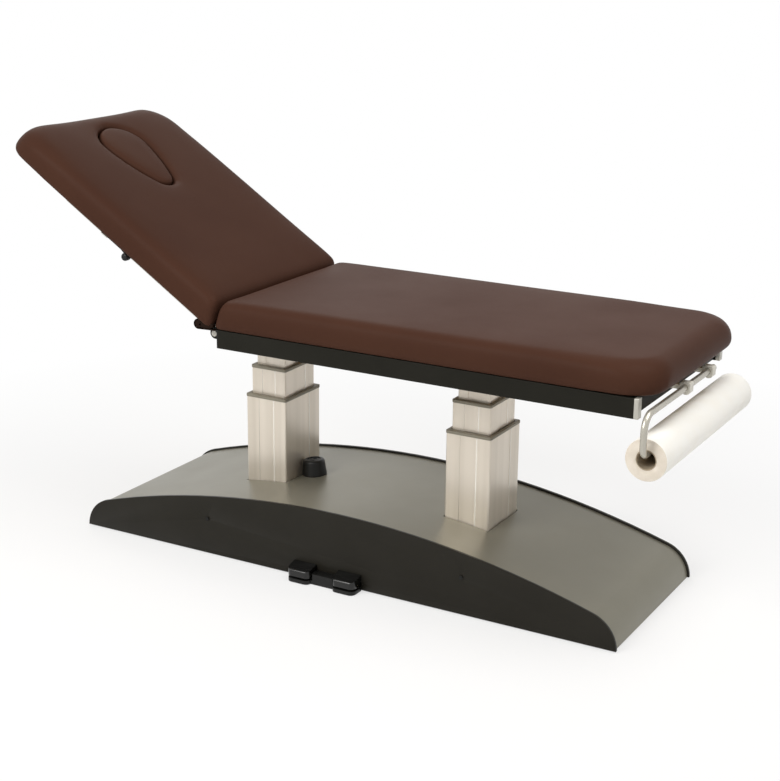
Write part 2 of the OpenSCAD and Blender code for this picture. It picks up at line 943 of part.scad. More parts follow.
module rail_cap(x0, x1, plug0, plug1) {
    thinner = 2 * rail_wall + 2 * seat_gap;
    along_x(x0, x1) rounded_rect(rail_w, rail_h, rail_corner);
    along_x(plug0, plug1) square([rail_w - thinner, rail_h - thinner], center = true);
}

module rail_caps_foot() {
    x0 = frame_foot_x - cap_foot_t;
    color("#b4b2ab") for (s = [-1, 1]) {
        translate([0, s * (frame_w - rail_w) / 2, rail_z + rail_h / 2]) {
            rail_cap(x0, frame_foot_x, x0 - cap_plug, frame_foot_x - cut);
        }
    }
}

module rail_caps_head() {
    x1 = frame_head_x + cap_head_t;
    color("#242320") for (s = [-1, 1]) {
        translate([0, s * (frame_w - rail_w) / 2, rail_z + rail_h / 2]) {
            rail_cap(frame_head_x, x1, frame_head_x + cut, x1 + cap_plug);
        }
    }
}

// Upholstery, drawn flat: the seat to the right of the pivot and the backrest to its left
module seat_plan(inset, x0) {
    w = cushion_half - inset;
    end = cushion_foot_x - inset;
    r = cushion_corner_r - inset;
    polygon(rounded([[x0, -w], [end, -w], [end, w], [x0, w]],
        [hinge_corner_r - inset, r, r, hinge_corner_r - inset]));
}

module back_plan(inset, x1) {
    w = cushion_half - inset;
    head_w = cushion_half - head_taper - inset;
    head = back_x + inset;
    r = head_corner_r - inset;
    polygon(rounded([[head, -head_w], [x1, -w], [x1, w], [head, head_w]],
        [r, hinge_corner_r - inset, hinge_corner_r - inset, r]));
}

module cushion_front_view(top) {
    w = cushion_half;
    polygon(rounded([[-w, seat_z], [w, seat_z], [w, top], [-w, top]],
        [cushion_bottom_r, cushion_bottom_r, cushion_top_r, cushion_top_r]));
}

module seat_board() {
    color("#b99a6b") translate([0, 0, seat_z]) linear_extrude(board_t) {
        seat_plan(cushion_wrap + board_gap, pivot_x + flank(seat_z + board_t) + board_setback);
    }
}

module seat_cushion() {
    top = seat_z + cushion_t;
    color("#5e4a3e") difference() {
        intersection() {
            translate([0, 0, seat_z]) linear_extrude(cushion_t) seat_plan(0, pivot_x + flank(seat_z));
            along_y(-cushion_half, cushion_half) polygon(rounded([[pivot_x + flank(seat_z), seat_z],
                [cushion_foot_x, seat_z], [cushion_foot_x, top], [pivot_x + flank(top), top]],
                [0, cushion_bottom_r, cushion_top_r, hinge_edge_r]));
            along_x(pivot_x, cushion_foot_x) cushion_front_view(top);
        }
        translate([0, 0, seat_z - cut]) linear_extrude(board_t + board_gap + cut) {
            seat_plan(cushion_wrap, pivot_x + flank(seat_z + board_t) + board_setback - board_gap);
        }
    }
}

// Half of the egg's outline on the +Y side: a sector of the flank's big circle
module egg(grow) {
    wide_r = plug_w / 2 + grow;
    tip_r = plug_tip_r + grow;
    apart = plug_len - plug_w / 2 - plug_tip_r;
    flank_r = plug_len * plug_flank_share + grow;
    // Centre of the flank's circle, from its distances to the two end circles' centres
    near = flank_r - wide_r;
    far = flank_r - tip_r;
    cx = (near * near - far * far + apart * apart) / (2 * apart);
    cy = -sqrt(near * near - cx * cx);
    translate([back_x + plug_head_setback + plug_w / 2, 0]) {
        circle(r = wide_r);
        translate([apart, 0]) circle(r = tip_r);
        for (s = [-1, 1]) {
            intersection() {
                translate([cx, s * cy]) circle(r = flank_r, $fn = crown_fn / 4);
                polygon([[0, 0], [-cx, -s * cy], [2 * apart - cx, -s * cy], [apart, 0]]);
            }
        }
    }
}

module back_arms() {
    color("#bdbab2") at_back() for (s = [-1, 1]) {
        y0 = s > 0 ? arm_in : -arm_out;
        difference() {
            union() {
                along_x(pivot_x - arm_len, pivot_x) {
                    translate([s * (arm_in + arm_out) / 2, seat_z - arm_h / 2]) {
                        tube_section(arm_w, arm_h, rail_corner, rail_wall);
                    }
                }
                rod_y(pivot_x, pivot_z, arm_end_r, y0, y0 + arm_w);
            }
            rod_y(pivot_x, pivot_z, pivot_r + run_gap, -base_w, base_w);
        }
    }
    color("#26251f") at_back() release_block();
}

// The block on the near arm that carries the release lever's pin
module release_block() {
    x = pivot_x - release_x;
    z = seat_z - release_drop;
    box([x - release_block_x, -arm_out - release_boss, z - release_block_z],
        [x + release_block_x, -arm_out, z + release_block_z]);
    rod_y(x, z, release_pin_r, -arm_out - release_boss - release_t - cut, -arm_out - cut);
}

module release_lever() {
    x = pivot_x - release_x;
    z = seat_z - release_drop;
    y1 = -arm_out - release_boss - seat_gap;
    y0 = y1 - release_t;
    half = release_w / 2;
    knob = [x + release_len, z - release_fall];
    color("#1a1a19") at_back() {
        difference() {
            along_y(y0, y1) polygon(rounded([[x - release_w, z - release_w], [x, z - release_w],
                knob - [0, half], knob + [0, half], [x, z + half], [x - release_w, z + half]],
                [half, half, cut, cut, cut, half]));
            rod_y(x, z, release_pin_r + run_gap, -base_w, 0);
        }
        rod_y(knob[0], knob[1], release_knob_r, y0 - release_knob_w / 2, y0 + release_knob_w / 2);
    }
}

module back_cross_tubes() {
    stations = [lever_root_x, arm_len / 2, arm_len - cross_w];
    color("#bdbab2") at_back() {
        for (x = stations) {
            along_y(-arm_in, arm_in) translate([pivot_x - x, seat_z - arm_h / 2]) {
                tube_section(cross_w, arm_h, rail_corner, rail_wall);
            }
        }
    }
    color("#26251f") at_back() lever_plate();
}

// The lever that the gas spring pushes, welded under the first cross tube
module lever_plate() {
    y0 = gas_y - gas_eye_t / 2 - seat_gap - lever_t;
    root = [pivot_x - lever_root_x, seat_z - arm_h];
    tip = [pivot_x + lever_len * cos(lever_angle), pivot_z - lever_len * sin(lever_angle)];
    across = lever_eye_r * unit(turn(tip - root, 90));
    along_y(y0, y0 + lever_t) {
        polygon([root - [cross_w / 2, 0], root + [cross_w / 2, 0], tip + across, tip - across]);
        translate(tip) circle(r = lever_eye_r);
    }
}

module back_board() {
    color("#b99a6b") at_back() translate([0, 0, seat_z]) linear_extrude(board_t) difference() {
        back_plan(cushion_wrap + board_gap, pivot_x - flank(seat_z + board_t) - board_setback);
        egg(-plug_ledge);
    }
}

module back_cushion() {
    top = seat_z + cushion_t;
    color("#4d392f") at_back() difference() {
        intersection() {
            translate([0, 0, seat_z]) linear_extrude(cushion_t) back_plan(0, pivot_x - flank(seat_z));
            along_y(-cushion_half, cushion_half) polygon(rounded([[back_x, seat_z],
                [pivot_x - flank(seat_z), seat_z], [pivot_x - flank(top), top], [back_x, top]],
                [cushion_bottom_r, 0, hinge_edge_r, cushion_top_r]));
            along_x(back_x, pivot_x) cushion_front_view(top);
        }
        translate([0, 0, seat_z - cut]) linear_extrude(board_t + board_gap + cut) {
            back_plan(cushion_wrap, pivot_x - flank(seat_z + board_t) - board_setback + board_gap);
        }
        translate([0, 0, seat_z]) linear_extrude(cushion_t + cut) egg(plug_gap);
    }
}

module face_plug() {
    color("#4d392f") at_back() translate([0, 0, seat_z + board_t + seat_gap]) {
        linear_extrude(cushion_t - board_t - seat_gap + plug_proud) egg(0);
    }
}

// Hinge pieces
module hinge_brackets() {
    color("#26251f") for (s = [-1, 1]) {
        y0 = s > 0 ? rail_in - bracket_plate_t : -rail_in;
        difference() {
            along_y(y0, y0 + bracket_plate_t) {
                translate([pivot_x, pivot_z]) circle(r = pivot_drop);
                translate([pivot_x, pivot_z - pivot_drop]) square([hinge_bracket_x, pivot_drop * 2]);
            }
            rod_y(pivot_x, pivot_z, pivot_r + run_gap, -base_w, base_w);
        }
    }
}

module pivot_bolts() {
    color("#b8b6b0") for (s = [-1, 1]) {
        a = s * (arm_in - pivot_head_h);
        b = s * rail_in;
        c = s * (rail_in + pivot_head_h);
        d = s * (arm_in - seat_gap);
        rod_y(pivot_x, pivot_z, pivot_r, min(a, b), max(a, b));
        rod_y(pivot_x, pivot_z, pivot_head_r, min(b, c), max(b, c));
        rod_y(pivot_x, pivot_z, pivot_head_r, min(a, d), max(a, d));
    }
}

module hinge_flap() {
    loop = [pivot_x, pivot_z] + turn([-flap_along, cut], -rest_tilt);
    tail_x = loop[0] + flap_r / 2;
    outer_y = frame_w / 2 + flap_over;
    bolt_y = rail_in + pivot_head_h + cut;
    color("#241a15") for (y = [[-outer_y, -bolt_y], [-flap_inner_y, flap_inner_y], [bolt_y, outer_y]]) {
        along_y(y[0], y[1]) {
            translate(loop) difference() {
                circle(r = flap_r);
                circle(r = flap_r - flap_t);
            }
            translate([tail_x, seat_z - seat_gap - flap_t]) {
                square([frame_head_x - seat_gap - tail_x, flap_t]);
            }
        }
    }
}

// Gas spring, from its bracket on the seat frame to the lever
gas_tip = [pivot_x, pivot_z] + lever_len * [cos(lever_angle + rest_tilt), -sin(lever_angle + rest_tilt)];
gas_dir = unit(gas_tip - [gas_cross_x, gas_anchor_z]);
gas_angle = atan2(gas_dir[1], -gas_dir[0]);

module along_gas() {
    translate([gas_cross_x, gas_y, gas_anchor_z]) rotate([0, gas_angle, 0]) rotate([0, -90, 0]) children();
}

module gas_cylinder() {
    color("#1b1b1a") along_gas() {
        difference() {
            union() {
                translate([0, 0, gas_neck]) cylinder(r = gas_r, h = gas_len - gas_neck);
                rotate([90, 0, 0]) cylinder(r = gas_eye_r, h = gas_eye_t, center = true);
                translate([-gas_rod_r, -gas_eye_t / 2, 0]) cube([2 * gas_rod_r, gas_eye_t, gas_neck + cut]);
            }
            translate([0, 0, gas_neck + gas_end_t]) cylinder(r = gas_rod_r + run_gap, h = gas_len);
        }
        rotate([90, 0, 0]) {
            cylinder(r = gas_pin_r, h = gas_eye_t + 2 * anchor_plate_t + 2 * cut, center = true);
        }
    }
}

module gas_rod() {
    reach = norm(gas_tip - [gas_cross_x, gas_anchor_z]);
    color("#c4c3bf") along_gas() {
        translate([0, 0, gas_len - gas_rod_hidden]) {
            cylinder(r = gas_rod_r, h = reach - gas_len + gas_rod_hidden - gas_eye_r / 2);
        }
        translate([0, 0, reach]) rotate([90, 0, 0]) cylinder(r = gas_eye_r, h = gas_eye_t, center = true);
    }
}

// Paper roll and its holder
module roll_brackets() {
    x0 = frame_foot_x - panel_inset;
    color("#d9d6cc") for (y = holder_y) {
        difference() {
            union() {
                box([x0, y - holder_w / 2, seat_z - pad_h], [x0 + pad_t, y + holder_w / 2, seat_z - cut]);
                box([x0 + pad_t, y - holder_w / 2 + pad_t, rod_z - clamp_arm_h / 2],
                    [rod_x - clamp_half, y + holder_w / 2 - pad_t, rod_z + clamp_arm_h / 2]);
                along_y(y - holder_w / 2, y + holder_w / 2) polygon(rounded([
                    [rod_x - clamp_half, rod_z - clamp_half], [rod_x + clamp_half, rod_z - clamp_half],
                    [rod_x + clamp_half, rod_z + clamp_half], [rod_x - clamp_half, rod_z + clamp_half]],
                    [pad_t, pad_t, pad_t, pad_t]));
            }
            rod_y(rod_x, rod_z, rod_r + run_gap, -base_w, base_w);
        }
        translate([rod_x, y, rod_z - clamp_half - clamp_knob_h]) {
            cylinder(r = clamp_knob_r, h = clamp_knob_h, $fn = 6);
        }
    }
}

module roll_ring(outside, inside) {
    along_y(roll_mid_y - roll_len / 2, roll_mid_y + roll_len / 2) translate([rod_x, roll_z]) difference() {
        circle(r = outside);
        circle(r = inside);
    }
}

module roll_core() {
    color("#b7a891") roll_ring(core_r + core_t, core_r);
}

module paper_roll() {
    color("#fbf9f2") roll_ring(roll_r, core_r + core_t + core_gap);
}

module bend(r, a0) {
    rotate([0, 90, 0]) rotate([0, 0, a0]) rotate_extrude(angle = 90) translate([r, 0]) circle(r = rod_r);
}

module roll_rod() {
    color("#b8b4a9") translate([rod_x, 0, 0]) {
        rod_y(0, rod_z, rod_r, rod_arm_y + rod_bend, rod_end_y);
        translate([0, rod_arm_y + rod_bend, rod_z - rod_bend]) bend(rod_bend, 180);
        translate([0, rod_arm_y, roll_low_z + rod_low_bend]) {
            cylinder(r = rod_r, h = rod_z - rod_bend - roll_low_z - rod_low_bend);
        }
        translate([0, rod_arm_y + rod_low_bend, roll_low_z + rod_low_bend]) bend(rod_low_bend, 270);
        rod_y(0, roll_low_z, rod_r, rod_arm_y + rod_low_bend, roll_mid_y + roll_len / 2 + rod_r);
    }
}

base_side_tubes();
base_cross_tubes();
column_plates();
plate_bolts();
levelling_feet();
foot_stems();
base_cover();
side_panel_front();
side_panel_rear();
panel_brackets();
panel_screws();
control_tray();
control_box();
mains_inlet();
socket_housing();
socket_insert();
pedal_housing();
pedal_pins();
pedal_up_pad();
pedal_down_pad();
gearboxes();
lift_motors();
column_outer_head();
column_outer_foot();
outer_collars();
lower_screw_head();
lower_screw_foot();
column_middle_head();
column_middle_foot();
middle_collars();
lower_nuts();
upper_screw_head();
upper_screw_foot();
inner_columns();
upper_nuts();
head_plates();
head_plate_bolts();
side_rail_front();
side_rail_rear();
cross_members();
foot_end_panel();
rail_caps_foot();
rail_caps_head();
seat_board();
seat_cushion();
hinge_brackets();
pivot_bolts();
roll_brackets();
roll_rod();
roll_core();
paper_roll();
gas_cylinder();
gas_rod();
back_arms();
back_cross_tubes();
back_board();
back_cushion();
hinge_flap();
release_lever();
face_plug();
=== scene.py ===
# %% [markdown]
# # An electric examination table
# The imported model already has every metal, wood and plastic part at its real size and place.
# This lesson dresses it: it puts soft upholstery where the solids only hold a plain block, rounds the
# edges that catch the light, and gives each surface a finish made of nodes.
# Everything is in metres. The foot end is at +X, the pedals are on the -Y side and the floor is at z = 0.

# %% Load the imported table
import json
import math
import bmesh
import bpy
from mathutils import Matrix, Vector


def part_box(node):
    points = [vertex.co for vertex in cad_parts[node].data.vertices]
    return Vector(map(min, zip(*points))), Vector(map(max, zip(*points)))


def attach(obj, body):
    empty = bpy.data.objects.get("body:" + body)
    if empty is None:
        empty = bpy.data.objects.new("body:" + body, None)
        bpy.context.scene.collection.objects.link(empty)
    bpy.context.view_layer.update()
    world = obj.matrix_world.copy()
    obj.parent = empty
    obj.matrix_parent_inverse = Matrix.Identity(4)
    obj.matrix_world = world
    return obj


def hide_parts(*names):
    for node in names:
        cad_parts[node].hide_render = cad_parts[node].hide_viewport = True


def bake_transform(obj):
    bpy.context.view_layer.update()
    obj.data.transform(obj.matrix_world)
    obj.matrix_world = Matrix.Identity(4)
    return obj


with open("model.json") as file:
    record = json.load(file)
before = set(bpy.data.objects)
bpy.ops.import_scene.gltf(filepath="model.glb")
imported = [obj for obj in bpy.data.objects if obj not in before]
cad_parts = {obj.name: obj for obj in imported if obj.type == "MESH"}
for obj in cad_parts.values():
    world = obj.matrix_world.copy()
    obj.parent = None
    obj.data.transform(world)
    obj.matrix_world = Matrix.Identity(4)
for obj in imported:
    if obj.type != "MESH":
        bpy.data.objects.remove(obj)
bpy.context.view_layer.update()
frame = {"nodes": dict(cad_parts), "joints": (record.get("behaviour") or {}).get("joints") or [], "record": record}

nodes = frame["nodes"]

# %% [markdown]
# ## The camera
# A camera is a point, a direction and a lens. These came from the straight edges of the frame and the
# base in the photograph, so the render lines up with it. A matrix sets place and direction at once:
# its columns are the camera's right, up and backward directions, then its place.

# %% Place the camera
azimuth, elevation, roll = (math.radians(angle) for angle in (29.371, 16.895, 0.627))
eye = Vector((1.991982, -3.487483, 1.672103))
SENSOR, FOCAL_PIXELS, PHOTO_PIXELS = 36.0, 1601.281, 781.0
backward = Vector((math.sin(azimuth) * math.cos(elevation), -math.cos(azimuth) * math.cos(elevation),
                   math.sin(elevation)))
level_right = (-backward).cross(Vector((0, 0, 1))).normalized()
level_up = level_right.cross(-backward)
right = level_right * math.cos(roll) + level_up * math.sin(roll)
up = level_up * math.cos(roll) - level_right * math.sin(roll)
camera_data = bpy.data.cameras.new("camera")
camera_data.sensor_width = SENSOR
camera_data.lens = SENSOR * FOCAL_PIXELS / PHOTO_PIXELS
camera = bpy.data.objects.new("camera", camera_data)
camera.matrix_world = Matrix((
    (right.x, up.x, backward.x, eye.x), (right.y, up.y, backward.y, eye.y),
    (right.z, up.z, backward.z, eye.z), (0, 0, 0, 1)))
bpy.context.scene.collection.objects.link(camera)
bpy.context.scene.camera = camera
print("lens", round(camera_data.lens, 2), "mm")

# %% [markdown]
# ## Working as by hand
# Operators act on what is selected, so each step first says what that is. `only` selects whole objects,
# and `pick` selects vertices, edges or faces of one mesh by a test of their place or direction.

# %% Helpers for selecting
def only(*pieces):
    """Select these pieces and nothing else. The first one becomes active."""
    if bpy.context.mode != "OBJECT":
        bpy.ops.object.mode_set(mode="OBJECT")
    bpy.ops.object.select_all(action="DESELECT")
    for piece in pieces:
        piece.select_set(True)
    bpy.context.view_layer.objects.active = pieces[0]


def middle(part):
    """The middle of a vertex, an edge or a face."""
    if hasattr(part, "co"):
        return part.co
    return sum((vertex.co for vertex in part.verts), Vector()) / len(part.verts)


def pick(piece, kind, test):
    """In edit mode, select the VERT, EDGE or FACE parts that pass the test, and say how many did."""
    if bpy.context.mode != "EDIT_MESH":
        only(piece)
        bpy.ops.object.mode_set(mode="EDIT")
    bpy.ops.mesh.select_mode(type=kind)
    bpy.ops.mesh.select_all(action="DESELECT")
    cage = bmesh.from_edit_mesh(piece.data)
    parts = {"VERT": cage.verts, "EDGE": cage.edges, "FACE": cage.faces}[kind]
    chosen = [part for part in parts if test(part)]
    for part in chosen:
        part.select_set(True)
    bmesh.update_edit_mesh(piece.data)
    return len(chosen)


def added(name):
    """Name the primitive that was just added, and put its place and size into its mesh."""
    piece = bpy.context.object
    piece.name = piece.data.name = name
    bpy.ops.object.transform_apply(location=True, rotation=True, scale=True)
    return piece


def copied(name, mesh):
    """A new object on a copy of this mesh."""
    piece = bpy.data.objects.new(name, mesh.copy())
    bpy.context.scene.collection.objects.link(piece)
    return piece


def modify(piece, kind, **settings):
    """Add one modifier, set it and apply it."""
    only(piece)
    modifier = piece.modifiers.new(kind.title(), kind)
    for key, value in settings.items():
        setattr(modifier, key, value)
    bpy.ops.object.modifier_apply(modifier=modifier.name)


def clean(piece):
    """Merge doubles and turn the faces outwards."""
    pick(piece, "FACE", lambda face: True)
    bpy.ops.mesh.remove_doubles(threshold=0.00001)
    bpy.ops.mesh.normals_make_consistent(inside=False)
    only(piece)


def join_flat(piece):
    """Join the faces that lie in one plane."""
    pick(piece, "FACE", lambda face: True)
    bpy.ops.mesh.dissolve_limited(angle_limit=math.radians(0.05))
    only(piece)

# %% [markdown]
# The imported record says which body each solid rides on, and a copy that stands for a solid rides on the
# same body.

# %% Look up bodies
record = frame["record"]
body_of = {node: body for body, members in record["behaviour"]["bodies"].items() for node in members}

# %% [markdown]
# ## Colours and shared effects
# Screen colours are written as hex and turned into the linear values that shaders use.
# Effects that many finishes share are node groups: a mottle that shifts a colour a little from place to
# place, a fine grain for bumps, and brush lines that run along one direction.
# A group only gives out colours and values. The shader itself stays in each material.
# `add_node` adds a node and feeds each input: a socket is linked to it, and a plain value is set on it.

# %% Hex colours to linear values
def colour(code):
    """Linear RGBA of an sRGB hex colour."""
    channels = [int(code[i:i + 2], 16) / 255 for i in (1, 3, 5)]
    return [c / 12.92 if c <= 0.04045 else ((c + 0.055) / 1.055) ** 2.4 for c in channels] + [1.0]

# %% Helpers for nodes
def add_node(tree, kind, inputs, **settings):
    """A new shader node with these settings, whose inputs are linked to sockets or set to values."""
    node = tree.nodes.new("ShaderNode" + kind)
    for setting, value in settings.items():
        setattr(node, setting, value)
    for name, source in inputs.items():
        if isinstance(source, bpy.types.NodeSocket):
            tree.links.new(source, node.inputs[name])
        else:
            node.inputs[name].default_value = source
    return node


def object_place(tree):
    """The place on the object, in metres."""
    return tree.nodes.new("ShaderNodeTexCoord").outputs["Object"]


def noise(tree, vector, scale, detail):
    """A Noise Texture's value."""
    inputs = {"Vector": vector, "Scale": scale, "Detail": detail, "Roughness": 0.55}
    return add_node(tree, "TexNoise", inputs).outputs["Fac"]


def new_group(name, inputs, outputs):
    """An empty shader node group with these sockets. Gives the group, its inputs and its output node."""
    group = bpy.data.node_groups.new(name, "ShaderNodeTree")
    for socket, kind, value in inputs:
        item = group.interface.new_socket(socket, in_out="INPUT", socket_type="NodeSocket" + kind)
        if value is not None:
            item.default_value = value
    for socket, kind in outputs:
        group.interface.new_socket(socket, in_out="OUTPUT", socket_type="NodeSocket" + kind)
    return group, group.nodes.new("NodeGroupInput").outputs, group.nodes.new("NodeGroupOutput")

# %% Make the node groups
mottle, given, result = new_group(
    "mottle", [("Vector", "Vector", None), ("Colour", "Color", (0.5, 0.5, 0.5, 1)),
               ("Other", "Color", (0.4, 0.4, 0.4, 1)), ("Scale", "Float", 5.0)],
    [("Colour", "Color"), ("Mask", "Float")])
cloud = noise(mottle, given["Vector"], given["Scale"], 4.0)
mask = add_node(mottle, "MapRange", {"Value": cloud, "From Min": 0.35, "From Max": 0.65}).outputs["Result"]
blend = add_node(mottle, "Mix", {"Factor": mask, "A": given["Colour"], "B": given["Other"]}, data_type="RGBA")
mottle.links.new(blend.outputs["Result"], result.inputs["Colour"])
mottle.links.new(mask, result.inputs["Mask"])

grain, given, result = new_group(
    "fine grain", [("Vector", "Vector", None), ("Scale", "Float", 900.0)], [("Height", "Float")])
cells = add_node(grain, "TexVoronoi", {"Vector": given["Vector"], "Scale": given["Scale"]}, feature="SMOOTH_F1")
softer = noise(grain, given["Vector"], given["Scale"], 2.0)
both = add_node(grain, "Math", {0: cells.outputs["Distance"], 1: softer}, operation="MULTIPLY")
grain.links.new(both.outputs["Value"], result.inputs["Height"])

brushed, given, result = new_group(
    "brush lines", [("Vector", "Vector", None), ("Stretch", "Vector", (400.0, 400.0, 4.0))],
    [("Lines", "Float")])
longer = add_node(brushed, "VectorMath", {0: given["Vector"], 1: given["Stretch"]}, operation="MULTIPLY")
brushed.links.new(noise(brushed, longer.outputs["Vector"], 1.0, 2.0), result.inputs["Lines"])
print("node groups:", [group.name for group in bpy.data.node_groups])

# %% [markdown]
# ## Finishes
# Each finish starts from a Principled shader. Its colour drifts by the mottle, its roughness follows the
# same mask, and a Bump node raises the grain. What is the same all over, such as metallic, is a plain
# number on the shader. Object coordinates are metres here, so a scale of 900 is a grain of about 1 mm.

# %% A helper that builds one finish
def raise_surface(tree, pattern, height):
    """Add a Bump node for a pattern, on top of the bumps that the finish already has."""
    normal = tree.nodes["Principled BSDF"].inputs["Normal"]
    inputs = {"Height": pattern, "Distance": height}
    if normal.links:
        inputs["Normal"] = normal.links[0].from_socket
    tree.links.new(add_node(tree, "Bump", inputs).outputs["Normal"], normal)


def finish(name, main, other, rough, spread=0.06, metallic=0.0, cloud_scale=5.0, grain_scale=900.0,
           grain_height=0.00004, lines=None, line_height=0.0, coat=0.0, specular=0.5, streaks=None,
           streak_colour=None):
    """A material from a main and a second colour, a roughness, and optional grain, lines and streaks."""
    material = bpy.data.materials.new(name)
    material.use_nodes = True
    tree = material.node_tree
    shader = tree.nodes["Principled BSDF"].inputs
    shader["Metallic"].default_value = metallic
    shader["Coat Weight"].default_value = coat
    shader["Specular IOR Level"].default_value = specular
    place = object_place(tree)
    patches = add_node(tree, "Group", {"Vector": place, "Colour": colour(main), "Other": colour(other),
                                       "Scale": cloud_scale}, node_tree=mottle).outputs
    tint = patches["Colour"]
    if streaks:
        drawn = add_node(tree, "Group", {"Vector": place, "Stretch": streaks}, node_tree=brushed)
        strength = add_node(tree, "MapRange", {"Value": drawn.outputs["Lines"], "From Min": 0.4, "From Max": 0.75})
        tint = add_node(tree, "Mix", {"Factor": strength.outputs["Result"], "A": tint, "B": colour(streak_colour)},
                        data_type="RGBA").outputs["Result"]
    tree.links.new(tint, shader["Base Color"])
    roughness = add_node(tree, "MapRange", {"Value": patches["Mask"], "To Min": max(0.0, rough - spread),
                                            "To Max": min(1.0, rough + spread)})
    tree.links.new(roughness.outputs["Result"], shader["Roughness"])
    for group, socket, value, height in ((grain, "Scale", grain_scale, grain_height),
                                         (brushed, "Stretch", lines, line_height)):
        if height:
            pattern = add_node(tree, "Group", {"Vector": place, socket: value}, node_tree=group)
            raise_surface(tree, pattern.outputs[0], height)
    return material

# %% [markdown]
# The upholstery is a brown vinyl with a fine leather grain and a soft gloss. The frame has black powder
# coat, whose skin is slightly pebbled. The base panels are a dark laminate, the cover is a satin grey,
# and the lifting columns are champagne aluminium with faint streaks along their length.

# %% Make every finish
vinyl = finish("brown vinyl", "#462e24", "#422b22", 0.4, 0.03, cloud_scale=3.0, grain_scale=750.0,
               grain_height=0.00018, specular=0.02)
# The flap's vinyl: the brown vinyl darkened as painted shade for the shadow under the hinge.
shaded_flap_vinyl = finish("brown vinyl with painted shade", "#241812", "#1f140f", 0.5, grain_scale=750.0, grain_height=0.0002,
                    specular=0.04)
powder_black = finish("black powder coat", "#22211c", "#1e1d18", 0.45, grain_scale=1400.0, grain_height=0.00006,
                      specular=0.08)
chassis = finish("dark chassis coat", "#302f2c", "#2b2a27", 0.55, grain_scale=1200.0, grain_height=0.00006,
                 specular=0.3)
laminate = finish("dark panel laminate", "#272520", "#23211c", 0.36, 0.04, grain_scale=1500.0,
                  grain_height=0.00003, specular=0.12)
satin_grey = finish("satin grey cover", "#858275", "#807d70", 0.34, 0.03, metallic=0.3, cloud_scale=3.0,
                    grain_height=0.0, specular=0.3)
column_skin = finish("champagne aluminium", "#e3dacd", "#dbd2c4", 0.32, 0.05, metallic=0.5, cloud_scale=1.2,
                     grain_height=0.0, streaks=(28.0, 28.0, 0.4), streak_colour="#d2c9bb")
# A pale finish for painted highlights on the columns' bevels and beside their bands.
painted_highlight_edge = finish("painted highlight on column edges", "#f6f2ea", "#efeae1", 0.25, 0.03, metallic=0.3, grain_height=0.0)
collar_plastic = finish("collar plastic", "#8a8577", "#837e70", 0.5, grain_scale=1300.0, specular=0.3)
zinc = finish("zinc plate", "#b8b6b0", "#a5a39b", 0.35, metallic=1.0, cloud_scale=60.0)
turned_steel = finish("turned steel", "#b4b3ae", "#a09f99", 0.3, metallic=1.0, grain_height=0.0,
                      lines=(4.0, 4.0, 900.0), line_height=0.0001)
bronze = finish("nut bronze", "#b7985a", "#a5874c", 0.38, metallic=1.0, cloud_scale=40.0)
silver_coat = finish("silver coat", "#b7b4ac", "#b0ada4", 0.42, metallic=0.4, grain_scale=1600.0)
cap_silver = finish("cap silver", "#b9b7ae", "#b1afa6", 0.4, metallic=0.3, grain_height=0.00003)
satin_rod = finish("satin rod", "#b9b5aa", "#aeaa9f", 0.3, metallic=0.7, grain_height=0.0,
                   lines=(500.0, 4.0, 500.0), line_height=0.00003)
black_plastic = finish("black plastic", "#141413", "#111110", 0.4, grain_scale=1500.0, grain_height=0.00005,
                       specular=0.3)
gloss_plastic = finish("gloss pedal plastic", "#0d0d0c", "#0b0b0a", 0.16, 0.03, grain_height=0.0, coat=0.3,
                       specular=0.35)
insert_plastic = finish("insert plastic", "#24272b", "#1f2226", 0.5, grain_scale=1500.0)
foot_rubber = finish("foot rubber", "#181817", "#151514", 0.8, grain_scale=1100.0, grain_height=0.0001,
                     specular=0.2)
screw_black = finish("black screws", "#161615", "#1d1d1b", 0.4, metallic=0.6, grain_height=0.0)
holder_plastic = finish("holder plastic", "#d9d6cc", "#d0cdc2", 0.45, grain_scale=1300.0)
cardboard = finish("cardboard", "#b7a891", "#a99a83", 0.85, cloud_scale=30.0, grain_height=0.0,
                   lines=(900.0, 30.0, 900.0), line_height=0.0001)
print("finishes:", len(bpy.data.materials))

# %% [markdown]
# Paper and plywood need a pattern with a form. The roll's ends show the edges of the wound sheet as fine
# rings, so a wave texture in rings is centred on the roll's axis by a Mapping node. Plywood shows thin
# layers on its edge, which are bands along z, under a grain stretched along the board.

# %% Paper with wound rings, and plywood with layers
def add_wave(material, kind, direction, scale, shift, height):
    """Raise a wave pattern on a finish: rings round one axis or bands along it, after a shift."""
    tree = material.node_tree
    place = next(node for node in tree.nodes if node.type == "TEX_COORD").outputs["Object"]
    mapping = add_node(tree, "Mapping", {"Vector": place, "Location": shift}, vector_type="POINT")
    wave = add_node(tree, "TexWave", {"Vector": mapping.outputs["Vector"], "Scale": scale, "Distortion": 0.6,
                                      "Detail Scale": 2.0},
                    wave_type=kind, **{kind.lower() + "_direction": direction})
    raise_surface(tree, wave.outputs["Fac"], height)


TO_ROLL_AXIS = (-0.85, 0, -0.505)
paper = finish("crepe paper", "#fffefa", "#fdfbf5", 0.9, 0.04, cloud_scale=20.0, grain_scale=500.0,
               grain_height=0.00008)
add_wave(paper, "RINGS", "Y", 260.0, TO_ROLL_AXIS, 0.0002)
# The roll's ends: paper darkened as painted shade. Their rings are the wound sheet's real edges.
shaded_paper_ends = finish("paper end with painted shade", "#efe6d9", "#e6dccd", 0.9, 0.04, cloud_scale=40.0, grain_height=0.0)
add_wave(shaded_paper_ends, "RINGS", "Y", 260.0, TO_ROLL_AXIS, 0.0003)
plywood = finish("birch plywood", "#bf9f70", "#a98a5d", 0.6, grain_height=0.0, cloud_scale=18.0,
                 lines=(6.0, 220.0, 400.0), line_height=0.0002)
add_wave(plywood, "BANDS", "Z", 55.0, (0, 0, 0), 0.0003)
print("patterned finishes:", paper.name, plywood.name)

# %% [markdown]
# ## Give every solid its finish
# A part whose shape is right keeps its solid and only gets a material. The table below goes by finish.

